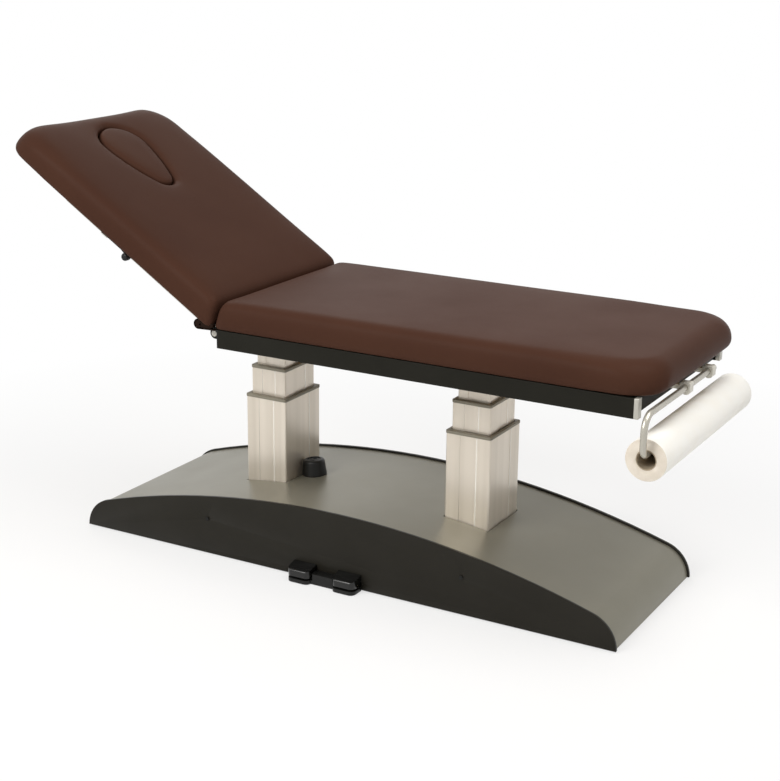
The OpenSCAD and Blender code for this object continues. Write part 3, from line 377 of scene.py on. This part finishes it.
# %% Assign the finishes
def dress(piece, material):
    """Give a piece this one material."""
    piece.data.materials.clear()
    piece.data.materials.append(material)


worn_by = {
    chassis: ["base_side_tubes", "base_cross_tubes", "column_plates", "panel_brackets", "control_tray",
              "gearboxes", "lift_motors", "head_plates"],
    zinc: ["plate_bolts", "foot_stems", "head_plate_bolts", "pedal_pins"],
    foot_rubber: ["levelling_feet"],
    satin_grey: ["base_cover"],
    laminate: ["side_panel_front", "side_panel_rear"],
    screw_black: ["panel_screws"],
    black_plastic: ["control_box", "mains_inlet", "socket_housing", "pedal_housing", "rail_caps_head",
                    "gas_cylinder", "release_lever"],
    insert_plastic: ["socket_insert"],
    gloss_plastic: ["pedal_up_pad", "pedal_down_pad"],
    column_skin: ["column_outer_head", "column_outer_foot", "column_middle_head", "column_middle_foot",
                  "inner_columns"],
    collar_plastic: ["outer_collars", "middle_collars"],
    turned_steel: ["lower_screw_head", "lower_screw_foot", "upper_screw_head", "upper_screw_foot"],
    bronze: ["lower_nuts", "upper_nuts"],
    powder_black: ["side_rail_front", "side_rail_rear", "cross_members", "foot_end_panel", "hinge_brackets"],
    cap_silver: ["rail_caps_foot"],
    plywood: ["seat_board", "back_board"],
    holder_plastic: ["roll_brackets"],
    satin_rod: ["roll_rod", "gas_rod"],
    cardboard: ["roll_core"],
    paper: ["paper_roll"],
    silver_coat: ["back_arms", "back_cross_tubes", "pivot_bolts"],
    vinyl: ["seat_cushion", "back_cushion", "face_plug"],
    shaded_flap_vinyl: ["hinge_flap"],
}
for material, names in worn_by.items():
    for name in names:
        dress(nodes[name], material)
print("solids with a finish:", sum(len(names) for names in worn_by.values()), "of", len(nodes))

# %% [markdown]
# ## Edges that catch the light
# A sharp solid edge looks like paper. Real edges are rounded and show a thin bright line. For the parts in
# plain view a copy of the solid is merged, its flat faces are joined, and a narrow bevel is cut on it.
# The copy then stands for the solid.

# %% Round the edges of the parts in plain view
def softened(node, width, steps=2, edge_finish=None):
    """A copy of a solid with bevelled edges, in the solid's place. The bevel may have its own finish."""
    piece = copied(node + "_edged", nodes[node].data)
    clean(piece)
    join_flat(piece)
    if edge_finish:
        piece.data.materials.append(edge_finish)
    modify(piece, "BEVEL", width=width, segments=steps, limit_method="ANGLE", angle_limit=math.radians(30),
           harden_normals=False, miter_outer="MITER_ARC", use_clamp_overlap=True,
           material=1 if edge_finish else -1)
    only(piece)
    bpy.ops.object.shade_smooth_by_angle(angle=math.radians(32))
    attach(piece, body_of[node])
    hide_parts(node)
    return piece


for node, width in (("side_panel_front", 0.0012), ("side_panel_rear", 0.0012), ("outer_collars", 0.0012),
                    ("middle_collars", 0.0012), ("roll_brackets", 0.0012), ("rail_caps_foot", 0.001),
                    ("pedal_housing", 0.0014), ("pedal_up_pad", 0.003), ("pedal_down_pad", 0.003),
                    ("foot_end_panel", 0.0008)):
    edged = softened(node, width, 3 if "pad" in node else 2)
    print(edged.name, len(edged.data.polygons), "faces")

# %% [markdown]
# Each side of a column has a shallow band down its middle. Beside the band, Bisect cuts a narrow strip whose
# faces get a painted highlight: a pale finish that stands in for the light caught at the band's edge. The
# bevels on the column's corners get the same painted highlight.

# %% Give the columns their painted highlights
def second_finish(piece, test):
    """Give the faces that pass the test the piece's second material, and say how many they are."""
    count = pick(piece, "FACE", test)
    piece.active_material_index = 1
    bpy.ops.object.material_slot_assign()
    only(piece)
    return count


BAND_SHARE = 0.36
HIGHLIGHT_WIDTH = 0.0032
for node in ("column_outer_head", "column_outer_foot", "column_middle_head", "column_middle_foot"):
    # The bevels on the column's corners get the painted highlight.
    column = softened(node, 0.0008, 1, edge_finish=painted_highlight_edge)
    low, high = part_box(node)
    mid_x = (low.x + high.x) / 2
    band_x, band_y = (high.x - low.x) * BAND_SHARE / 2, (high.y - low.y) * BAND_SHARE / 2
    for place, facing in (((mid_x + band_x + HIGHLIGHT_WIDTH, 0, 0), (1, 0, 0)),
                          ((mid_x - band_x - HIGHLIGHT_WIDTH, 0, 0), (1, 0, 0)),
                          ((0, band_y + HIGHLIGHT_WIDTH, 0), (0, 1, 0)), ((0, -band_y - HIGHLIGHT_WIDTH, 0), (0, 1, 0))):
        pick(column, "FACE", lambda face: abs(face.normal.z) < 0.1)
        bpy.ops.mesh.bisect(plane_co=place, plane_no=facing)
    count = second_finish(column, lambda face: any(
        (face.normal.y * side < -0.9 and 0 < (face.calc_center_median().x - mid_x) * side - band_x < HIGHLIGHT_WIDTH)
        or (face.normal.x * side > 0.9 and 0 < face.calc_center_median().y * side - band_y < HIGHLIGHT_WIDTH)
        for side in (1, -1)))
    print(column.name, "bright faces:", count)

# %% [markdown]
# The paper roll's ends get a painted shade: a darker, warmer colour than the sheet, which stands in for the
# shade on the ends. The end faces are picked by their direction, and get the roll's second material.

# %% Give the roll's ends a painted shade
wound = softened("paper_roll", 0.0015)
wound.data.materials.append(shaded_paper_ends)
print("faces at the roll's ends:", second_finish(wound, lambda face: abs(face.normal.y) > 0.9))

# %% [markdown]
# ## Upholstery
# A cushion here is vinyl pulled over foam on a board. It is flat only where it sits on the board, its top
# is slightly crowned, and its edge is a soft round. It could be sculpted, but a cloth simulation finds the
# crown by itself: the plain form is rebuilt in even squares, air pressure pushes it out for 20 frames, and
# the underside is held. The movement is then capped and spread, so that no crease is left.

# %% Measures of the hinge and the upholstery
tilt = next(joint for joint in frame["joints"] if joint["name"] == "backrest_tilt")
PIVOT = Vector(tilt["pos_m"])
TILT = math.radians(-tilt["range_deg"][0])
LEAN = math.tan(TILT / 2)
LOW = 0.6372  # the height of a pad's underside
THICK = 0.079
CROWN = 0.004
BACK_LENGTH = 0.769
OVERHANG = 0.006  # how far a pad's end reaches past its board
TOUCH = 0.0004  # half the gap between the two pads
seat_low, seat_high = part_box("seat_cushion")
print("pivot", [round(c, 4) for c in PIVOT], "tilt", round(math.degrees(TILT), 2), "degrees")

# %% [markdown]
# A pad starts as a plate. Its plan corners are bevelled, it is thickened, and its hinge end is made to lean.
# Scaling a corner's arc about the corner itself keeps it touching both sides and changes its radius, so the
# upper corners can be rounder than the lower ones, as pulled vinyl makes them. Edge weights then let one
# Bevel modifier round every rim by its own amount.

# %% A plain pad
def plain_pad(name, hinge_x, end_x, hinge_half, end_half, hinge_radius, end_radius, upper_radius, lean):
    """A pad lying flat, with its hinge end leaning so that two pads meet face to face at the hinge."""
    height = THICK - CROWN
    bpy.ops.mesh.primitive_plane_add(size=1, location=((hinge_x + end_x) / 2, 0, LOW))
    pad = bpy.context.object
    pad.scale = (abs(end_x - hinge_x), 2 * hinge_half, 1)
    pad = added(name)
    outward = 1 if end_x > hinge_x else -1
    pick(pad, "VERT", lambda v: abs(v.co.x - end_x) < 0.001)
    bpy.ops.transform.resize(value=(1, end_half / hinge_half, 1))
    bpy.ops.mesh.bevel(offset=end_radius, segments=12, affect="VERTICES")
    pick(pad, "VERT", lambda v: abs(v.co.x - hinge_x) < 0.001)
    bpy.ops.mesh.bevel(offset=hinge_radius, segments=8, affect="VERTICES")
    pick(pad, "FACE", lambda f: True)
    bpy.ops.mesh.extrude_region_move(TRANSFORM_OT_translate={"value": (0, 0, height)})
    for side in (-1, 1):
        corner = Vector((end_x, side * end_half, LOW + height))
        pick(pad, "VERT", lambda v: v.co.z > LOW + 0.01 and (v.co.xy - corner.xy).length < end_radius * 1.01)
        ratio = upper_radius / end_radius
        bpy.ops.transform.resize(value=(ratio, ratio, 1), center_override=corner)
    pick(pad, "VERT", lambda v: v.co.z > LOW + 0.01 and (v.co.x - hinge_x) * outward < hinge_radius + 0.001)
    bpy.ops.transform.translate(value=(lean * height, 0, 0))
    clean(pad)
    return pad


def round_rims(pad, hinge_x, upper, lower, at_hinge):
    """Round every rim by its own amount: the upper rim, the lower rim and the rim at the hinge."""
    weights = pad.data.attributes.new("bevel_weight_edge", "FLOAT", "EDGE")
    for edge in pad.data.edges:
        ends = [pad.data.vertices[i].co for i in edge.vertices]
        from_hinge = min(abs(end.x - hinge_x) for end in ends)
        near = min(1.0, from_hinge / 0.09)
        if all(end.z > LOW + 0.05 for end in ends):
            weights.data[edge.index].value = (at_hinge + (upper - at_hinge) * near) / upper
        elif all(end.z < LOW + 0.001 for end in ends):
            weights.data[edge.index].value = lower / upper * near
    modify(pad, "BEVEL", width=upper, segments=7, limit_method="WEIGHT", use_clamp_overlap=False)
    clean(pad)

# %% A cloth simulation that crowns a pad
def puff(pad, voxel, pressure, cap, held, soften=16, spread=40):
    """Rebuild a pad in even squares and let cloth pressure crown it, except where it is held."""
    modify(pad, "REMESH", mode="VOXEL", voxel_size=voxel, adaptivity=0.0, use_smooth_shade=True)
    modify(pad, "SMOOTH", factor=0.5, iterations=soften)
    holding = [held(vertex.co) for vertex in pad.data.vertices]
    pins = pad.vertex_groups.new(name="held")
    pins.add([i for i, hold in enumerate(holding) if hold], 1.0, "REPLACE")
    start = [vertex.co.copy() for vertex in pad.data.vertices]
    cloth = pad.modifiers.new("Cloth", "CLOTH")
    settings = cloth.settings
    settings.quality = 4
    settings.mass = 0.3
    settings.tension_stiffness = settings.compression_stiffness = 20
    settings.shear_stiffness = 10
    settings.bending_stiffness = 5
    settings.use_pressure = True
    settings.uniform_pressure_force = pressure
    settings.vertex_group_mass = "held"
    settings.effector_weights.gravity = 0
    cloth.collision_settings.use_collision = False
    scene = bpy.context.scene
    for number in range(1, 21):
        scene.frame_set(number)
    only(pad)
    bpy.ops.object.modifier_apply(modifier=cloth.name)
    scene.frame_set(1)

    moves = []
    for vertex, was, hold in zip(pad.data.vertices, start, holding):
        move = vertex.co - was
        size = max(move.length, 1e-9)
        moves.append(Vector() if hold else move * (cap * math.tanh(size / cap) / size))
    edges = [tuple(edge.vertices) for edge in pad.data.edges]
    for _ in range(spread):
        sums = [move.copy() for move in moves]
        counts = [1] * len(moves)
        for a, b in edges:
            sums[a] += moves[b]
            sums[b] += moves[a]
            counts[a] += 1
            counts[b] += 1
        moves = [Vector() if hold else total / count for total, count, hold in zip(sums, counts, holding)]
    for vertex, was, move in zip(pad.data.vertices, start, moves):
        vertex.co = was + move
    print(pad.name, "moved up to", round(max(move.length for move in moves) * 1000, 1), "mm")

# %% [markdown]
# The two big pads touch at the hinge, on the plane that halves the angle between them.

# %% Seat pad
seat_hinge_x = PIVOT.x + (LOW - PIVOT.z) * LEAN + TOUCH
seat_end_x = seat_high.x + OVERHANG
seat_half = seat_high.y
seat_pad = plain_pad("seat_upholstery", seat_hinge_x, seat_end_x, seat_half, seat_half,
                     hinge_radius=0.022, end_radius=0.08, upper_radius=0.12, lean=LEAN)
round_rims(seat_pad, seat_hinge_x, upper=0.042, lower=0.022, at_hinge=0.012)
print("seat pad faces before the simulation:", len(seat_pad.data.polygons))

# %% Backrest pad, modelled flat
back_hinge_x = PIVOT.x - (LOW - PIVOT.z) * LEAN - TOUCH
back_end_x = PIVOT.x - BACK_LENGTH - OVERHANG
back_pad = plain_pad("back_upholstery", back_hinge_x, back_end_x, seat_half + 0.002, seat_half + 0.0025,
                     hinge_radius=0.02, end_radius=0.046, upper_radius=0.112, lean=-LEAN)
round_rims(back_pad, back_hinge_x, upper=0.04, lower=0.02, at_hinge=0.012)
pick(back_pad, "VERT", lambda v: v.co.z < LOW + 0.025)
bpy.ops.transform.translate(value=(0, 0, -0.0018))
only(back_pad)
print("backrest pad faces before the simulation:", len(back_pad.data.polygons))

# %% [markdown]
# The face plug is an egg: a wide arc, a narrow arc and two long flanks that touch both. A point of its
# outline is found from the direction in which the outline faces there.

# %% Outline of the face plug
WIDE_R, TIP_R, FLANK_R, APART = 0.079, 0.038, 0.441, 0.135
WIDE_X = PIVOT.x - BACK_LENGTH + 0.067 + WIDE_R
near, far = FLANK_R - WIDE_R, FLANK_R - TIP_R
flank = Vector(((near ** 2 - far ** 2 + APART ** 2) / (2 * APART), 0))
flank.y = -math.sqrt(near ** 2 - flank.x ** 2)
TO_TIP = math.atan2(-flank.y, APART - flank.x)
TO_WIDE = math.atan2(-flank.y, -flank.x)


def egg_arc(facing):
    """Centre and radius of the outline's arc that faces this direction."""
    if facing < TO_TIP:
        return Vector((APART, 0)), TIP_R
    if facing < TO_WIDE:
        return flank, FLANK_R
    return Vector((0, 0)), WIDE_R


def egg_point(angle, grow):
    """The outline's point that faces this direction, seen from the wide arc's centre."""
    side, facing = (1, angle) if angle <= math.pi else (-1, 2 * math.pi - angle)
    centre, radius = egg_arc(facing)
    point = centre + (radius + grow) * Vector((math.cos(facing), math.sin(facing)))
    return Vector((WIDE_X + point.x, side * point.y))


def egg_distance(x, y):
    """How far a point lies outside the outline, and the direction away from it."""
    point = Vector((x - WIDE_X, abs(y)))
    centre, radius = egg_arc(math.atan2(point.y - flank.y, point.x - flank.x))
    away = point - centre
    direction = away.normalized() if away.length > 1e-9 else Vector((1, 0))
    return away.length - radius, Vector((direction.x, math.copysign(direction.y, y)))


def egg_prism(name, grow, low, high):
    """A closed prism on the egg's outline, from a circle whose points are moved onto it."""
    bpy.ops.mesh.primitive_circle_add(vertices=96, radius=0.05, fill_type="NGON", location=(WIDE_X, 0, low))
    prism = added(name)
    for vertex in prism.data.vertices:
        angle = math.atan2(vertex.co.y, vertex.co.x - WIDE_X) % (2 * math.pi)
        point = egg_point(angle, grow)
        vertex.co.x, vertex.co.y = point.x, point.y
    pick(prism, "FACE", lambda f: True)
    bpy.ops.mesh.extrude_region_move(TRANSFORM_OT_translate={"value": (0, 0, high - low)})
    clean(prism)
    return prism


print("plug", round(2000 * WIDE_R, 1), "mm wide,", round(1000 * (APART + WIDE_R + TIP_R), 1), "mm long")

# %% Cut the hole, then crown the three pads
cutter = egg_prism("hole_cutter", 0.003, LOW - 0.02, LOW + THICK + 0.02)
modify(back_pad, "BOOLEAN", object=cutter, operation="DIFFERENCE", solver="EXACT")
bpy.data.objects.remove(cutter)
PLUG_LOW = 0.6556
plug = egg_prism("face_plug_upholstery", -0.0015, PLUG_LOW, LOW + THICK - 0.003)
pick(plug, "EDGE", lambda e: all(v.co.z > LOW + THICK - 0.004 for v in e.verts))
bpy.ops.mesh.bevel(offset=0.009, segments=4, affect="EDGES")
clean(plug)

puff(seat_pad, voxel=0.008, pressure=3.0, cap=CROWN, held=lambda p: p.z < LOW + 0.003)
puff(back_pad, voxel=0.007, pressure=3.0, cap=CROWN, held=lambda p: p.z < LOW + 0.003
     or (egg_distance(p.x, p.y)[0] < 0.006 and p.z < LOW + THICK - CROWN - 0.008))
puff(plug, voxel=0.005, pressure=4.0, cap=0.003, held=lambda p: p.z < PLUG_LOW + 0.0064, soften=6, spread=8)

# %% [markdown]
# Vinyl is pulled round a board's rim and stapled underneath, so the board itself must end inside the pad.
# Each board is copied flat, its outer rims are moved inwards, and it is tilted back with `lift`.

# %% Boards with their rims drawn in
lift = Matrix.Translation(PIVOT) @ Matrix.Rotation(TILT, 4, "Y") @ Matrix.Translation(-PIVOT)


def trimmed_board(node, placed, inward=0.012, rim=0.06, side=0.2):
    """A copy of a board with its outer rim moved inwards, so that the vinyl can wrap round it."""
    board = copied(node + "_trimmed", nodes[node].data)
    board.data.transform(placed.inverted())
    clean(board)
    join_flat(board)
    low_x, high_x = (limit(vertex.co.x for vertex in board.data.vertices) for limit in (min, max))
    for step, test in (((0, -inward, 0), lambda v: v.co.y > side), ((0, inward, 0), lambda v: v.co.y < -side),
                       ((inward, 0, 0), lambda v: v.co.x < low_x + rim),
                       ((-inward, 0, 0), lambda v: v.co.x > high_x - rim)):
        pick(board, "VERT", test)
        bpy.ops.transform.translate(value=step)
    only(board)
    modify(board, "BEVEL", width=0.0012, segments=2, limit_method="ANGLE", angle_limit=math.radians(40))
    board.data.transform(placed)
    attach(board, body_of[node])
    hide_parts(node)
    print(board.name, "is", round(1000 * (high_x - low_x - 2 * inward)), "mm long")
    return board

# %% [markdown]
# After the simulation the pads are tidied by moving points in code. The hole's wall is put back on its
# outline, and the plug is kept inside it, so that it still lifts out. The head end is slightly hollow.
# Then one level of subdivision makes the skin smooth, and a pocket is cut for each board.

# %% Tidy, subdivide and cut the pockets
WALL = 0.0016  # the hole's wall lies this far outside the plug's outline
SLACK = 0.0004  # and the plug's skin this far inside it
for vertex in back_pad.data.vertices:
    distance, away = egg_distance(vertex.co.x, vertex.co.y)
    if distance < WALL:
        vertex.co.x += away.x * (WALL - distance)
        vertex.co.y += away.y * (WALL - distance)
    near_head = max(0.0, 1 - (vertex.co.x - back_end_x) / 0.06)
    vertex.co.x += 0.005 * near_head * max(0.0, 1 - (vertex.co.y / 0.22) ** 2)
for vertex in plug.data.vertices:
    distance, away = egg_distance(vertex.co.x, vertex.co.y)
    if distance > -SLACK:
        vertex.co.x -= away.x * (distance + SLACK)
        vertex.co.y -= away.y * (distance + SLACK)

for pad, board in ((seat_pad, trimmed_board("seat_board", Matrix())),
                   (back_pad, trimmed_board("back_board", lift)), (plug, None)):
    modify(pad, "SUBSURF", levels=1, render_levels=1)
    if pad is not seat_pad:
        pad.data.transform(lift)
    if board:
        cutter = copied("pocket_cutter", board.data)
        pick(cutter, "FACE", lambda face: True)
        bpy.ops.transform.shrink_fatten(value=0.0005, use_even_offset=True)
        under = Vector((math.sin(TILT), 0, math.cos(TILT))) if pad is back_pad else Vector((0, 0, 1))
        pick(cutter, "FACE", lambda face: face.normal.dot(under) < -0.9)
        bpy.ops.transform.translate(value=-0.01 * under)
        only(cutter)
        modify(pad, "BOOLEAN", object=cutter, operation="DIFFERENCE", solver="EXACT")
        bpy.data.objects.remove(cutter)
    dress(pad, vinyl)
    only(pad)
    bpy.ops.object.shade_smooth_by_angle(angle=math.radians(50))
    corners = [Vector(corner) for corner in pad.bound_box]
    print(pad.name, len(pad.data.polygons), "faces, from", [round(c, 4) for c in corners[0]], "to",
          [round(c, 4) for c in corners[6]])

for pad, node, slot in ((seat_pad, "seat_cushion", "vinyl_seat"), (back_pad, "back_cushion", "vinyl_back")):
    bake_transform(pad)
    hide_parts(node)
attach(plug, "face_plug")
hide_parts("face_plug")

# %% [markdown]
# ## The vinyl flap at the hinge
# A strip of vinyl closes the gap under the hinge. Its finish is the brown vinyl darkened as painted shade, for
# the shadow under the hinge. It is sewn round a soft cord under the backrest's board and runs on under the seat.
# It is drawn as one line of points, pushed sideways into a strip, and given its thickness, and the cord is a
# cylinder with rounded ends.

# %% Model the flap
CORD_RADIUS, LOOP_RADIUS, SKIN = 0.0112, 0.0126, 0.0022


def flap_strip(name, y0, y1):
    """One strip of the flap: a line of points in the x-z plane, swept from y0 to y1."""
    board_side = Vector((-math.cos(TILT), 0, math.sin(TILT)))
    board_up = Vector((math.sin(TILT), 0, math.cos(TILT)))
    centre = PIVOT + 0.044 * board_side + 0.001 * board_up
    line = [centre + LOOP_RADIUS * (math.cos(a) * board_side + math.sin(a) * board_up)
            for a in (math.radians(105 - step * 18.0) for step in range(14))]
    line += [Vector((PIVOT.x - 0.02, 0, 0.6346)), Vector((PIVOT.x - 0.008, 0, 0.6352)),
             Vector((PIVOT.x + 0.004, 0, 0.6354)), Vector((PIVOT.x + 0.0175, 0, 0.6355))]
    bpy.ops.mesh.primitive_plane_add(size=1, location=(0, 0, 0))
    strip = added(name)
    pick(strip, "VERT", lambda v: v.co.y > 0)
    bpy.ops.mesh.delete(type="VERT")
    pick(strip, "VERT", lambda v: v.co.x > 0)
    bpy.ops.mesh.delete(type="VERT")
    pick(strip, "VERT", lambda v: True)
    bpy.ops.transform.translate(value=Vector((line[0].x, y0, line[0].z)) - Vector((-0.5, -0.5, 0)))
    for here, there in zip(line, line[1:]):
        bpy.ops.mesh.extrude_vertices_move(TRANSFORM_OT_translate={"value": there - here})
    pick(strip, "EDGE", lambda e: True)
    for _ in range(4):
        bpy.ops.mesh.extrude_edges_move(TRANSFORM_OT_translate={"value": (0, (y1 - y0) / 4, 0)})
    only(strip)
    modify(strip, "SOLIDIFY", thickness=SKIN, offset=0.0)
    modify(strip, "SUBSURF", levels=1, render_levels=1)
    clean(strip)
    bpy.ops.object.shade_smooth()
    length = sum((there - here).length for here, there in zip(line, line[1:]))
    cords = [flap_cord(name + "_cord", centre, CORD_RADIUS, y0, y1)]
    if min(abs(y0), abs(y1)) > 0.25:
        gusset_centre = Vector((PIVOT.x - 0.014, 0, 0.6453))
        cords.append(flap_cord(name + "_gusset", gusset_centre, 0.0092, y0, y1, wider=2.5))
    return strip, cords, length


def flap_cord(name, centre, radius, y0, y1, wider=1.0):
    """A soft cord inside the flap: a cylinder along y with rounded ends, which may be flattened."""
    bpy.ops.mesh.primitive_cylinder_add(vertices=24, radius=radius, depth=y1 - y0 - 0.003,
                                        location=(centre.x, (y0 + y1) / 2, centre.z), rotation=(math.pi / 2, 0, 0))
    bpy.context.object.scale = (wider, 1, 1)
    cord = added(name)
    modify(cord, "BEVEL", width=0.003, segments=3, limit_method="ANGLE", angle_limit=math.radians(60))
    only(cord)
    bpy.ops.object.shade_smooth_by_angle(angle=math.radians(40))
    return cord


flap_low, flap_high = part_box("hinge_flap")
for name, y0, y1 in (("flap_front", flap_low.y, -0.276), ("flap_middle", -0.236, 0.236),
                     ("flap_rear", 0.276, flap_high.y)):
    strip, cords, length = flap_strip(name, y0, y1)
    for piece in [strip] + cords:
        dress(piece, shaded_flap_vinyl)
        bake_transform(piece)
        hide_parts("hinge_flap")
    print(name, "is cut", round(1000 * (y1 - y0)), "by", round(1000 * length), "mm")

# %% [markdown]
# ## The release lever
# The lever under the backrest's near edge is bent, so that its bar hides behind the pad and only the round
# knob shows. The bar is a line of points given a width, and the knob is a cylinder whose rims are rounded
# until it is nearly a ball. Both are modelled lying flat and then tilted with the backrest.

# %% Model the release lever
PIN_X, PIN_Z = PIVOT.x - 0.412, 0.622
BAR = 0.004
lever_low, lever_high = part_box("release_lever")
bar_y = (lever_low.y + lever_high.y) / 2
bends = [(-0.008, 0.0), (0.0, 0.0), (0.02, 0.0005), (0.066, 0.0005), (0.08, -0.002), (0.09, -0.0062)]
first, last = bends[0], bends[-1]
bpy.ops.mesh.primitive_plane_add(size=1, location=(0, 0, 0))
lever = added("release_lever_bent")
pick(lever, "VERT", lambda v: v.co.x > 0 or v.co.y > 0)
bpy.ops.mesh.delete(type="VERT")
pick(lever, "VERT", lambda v: True)
bpy.ops.transform.translate(value=Vector((PIN_X + first[0], bar_y - BAR / 2, PIN_Z + first[1] - BAR / 2))
                            - Vector((-0.5, -0.5, 0)))
for (x0, z0), (x1, z1) in zip(bends, bends[1:]):
    bpy.ops.mesh.extrude_vertices_move(TRANSFORM_OT_translate={"value": (x1 - x0, 0, z1 - z0)})
pick(lever, "EDGE", lambda edge: True)
bpy.ops.mesh.extrude_edges_move(TRANSFORM_OT_translate={"value": (0, 0, BAR)})
pick(lever, "FACE", lambda face: True)
bpy.ops.mesh.extrude_region_move(TRANSFORM_OT_translate={"value": (0, BAR, 0)})
clean(lever)
modify(lever, "BEVEL", width=0.0012, segments=2, limit_method="ANGLE", angle_limit=math.radians(40))
bpy.ops.mesh.primitive_cylinder_add(vertices=32, radius=0.0105, depth=0.022, rotation=(math.pi / 2, 0, 0),
                                    location=(PIN_X + last[0], bar_y - BAR / 2, PIN_Z + last[1]))
knob = added("release_knob")
modify(knob, "BEVEL", width=0.006, segments=4, limit_method="ANGLE", angle_limit=math.radians(60))
only(lever, knob)
bpy.ops.object.join()
clean(lever)
lever.data.transform(lift)
dress(lever, black_plastic)
bpy.ops.object.shade_smooth_by_angle(angle=math.radians(35))
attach(lever, "release_lever")
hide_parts("release_lever")
print("lever", [round(1000 * side) for side in lever.dimensions], "mm")

# %% [markdown]
# ## Floor, lights and background
# The floor is pale and keeps the table's shadow. Light Path tells a material which kind of ray asks: the
# camera, mirrors and glass see a white background, while the light on the table stays soft and plain.

# %% A value that knows the background rays
def background_ray(tree):
    """1 where the camera, a mirror or glass asks, and 0 for the light on the table."""
    path = tree.nodes.new("ShaderNodeLightPath").outputs
    total = path["Is Camera Ray"]
    for other in ("Is Glossy Ray", "Is Transmission Ray"):
        total = add_node(tree, "Math", {0: total, 1: path[other]}, operation="MAXIMUM").outputs["Value"]
    return total

# %% Lay the floor
bpy.ops.mesh.primitive_plane_add(size=40, location=(0, 0, 0))
floor = added("floor")
floor_finish = bpy.data.materials.new("pale floor")
floor_finish.use_nodes = True
tree = floor_finish.node_tree
shader = tree.nodes["Principled BSDF"]
shader.inputs["Base Color"].default_value = (0.9, 0.9, 0.9, 1)
shader.inputs["Roughness"].default_value = 0.9
shader.inputs["Specular IOR Level"].default_value = 0.0
white = add_node(tree, "Emission", {"Strength": 1.0})
distance = add_node(tree, "VectorMath", {0: object_place(tree)}, operation="LENGTH").outputs["Value"]
fade = add_node(tree, "MapRange", {"Value": distance, "From Min": 0.9, "From Max": 2.2, "To Min": 0.65,
                                   "To Max": 1.0}).outputs["Result"]
share = add_node(tree, "Math", {0: background_ray(tree), 1: fade}, operation="MULTIPLY").outputs["Value"]
mix = add_node(tree, "MixShader", {"Fac": share, 1: shader.outputs["BSDF"], 2: white.outputs["Emission"]})
tree.links.new(mix.outputs["Shader"], tree.nodes["Material Output"].inputs["Surface"])
floor.data.materials.append(floor_finish)

# %% Set the world and the lamps
world = bpy.data.worlds.new("studio")
bpy.context.scene.world = world
world.use_nodes = True
tree = world.node_tree
soft = tree.nodes["Background"]
soft.inputs["Color"].default_value = (1.0, 0.985, 0.96, 1)
soft.inputs["Strength"].default_value = 0.42
behind = add_node(tree, "Background", {"Color": (1, 1, 1, 1), "Strength": 1.0})
mix = add_node(tree, "MixShader", {"Fac": background_ray(tree), 1: soft.outputs["Background"],
                                   2: behind.outputs["Background"]})
tree.links.new(mix.outputs["Shader"], tree.nodes["World Output"].inputs["Surface"])


def lamp(name, place, target, size, power, tint=(1.0, 0.98, 0.95)):
    """A square area lamp that looks at a point."""
    data = bpy.data.lights.new(name, "AREA")
    data.size = size
    data.energy = power
    data.color = tint
    piece = bpy.data.objects.new(name, data)
    piece.location = place
    piece.rotation_euler = (Vector(target) - Vector(place)).to_track_quat("-Z", "Y").to_euler()
    bpy.context.scene.collection.objects.link(piece)


lamp("key", (-1.4, -3.8, 3.2), (0, 0, 0.4), 2.4, 145)
lamp("top", (1.6, -0.2, 3.3), (0.4, 0, 0.4), 2.0, 56)
lamp("rear", (-2.6, 2.6, 3.4), (0, 0, 0.5), 2.6, 26)
bpy.context.scene.view_settings.view_transform = "Standard"
print("lamps and floor are set")
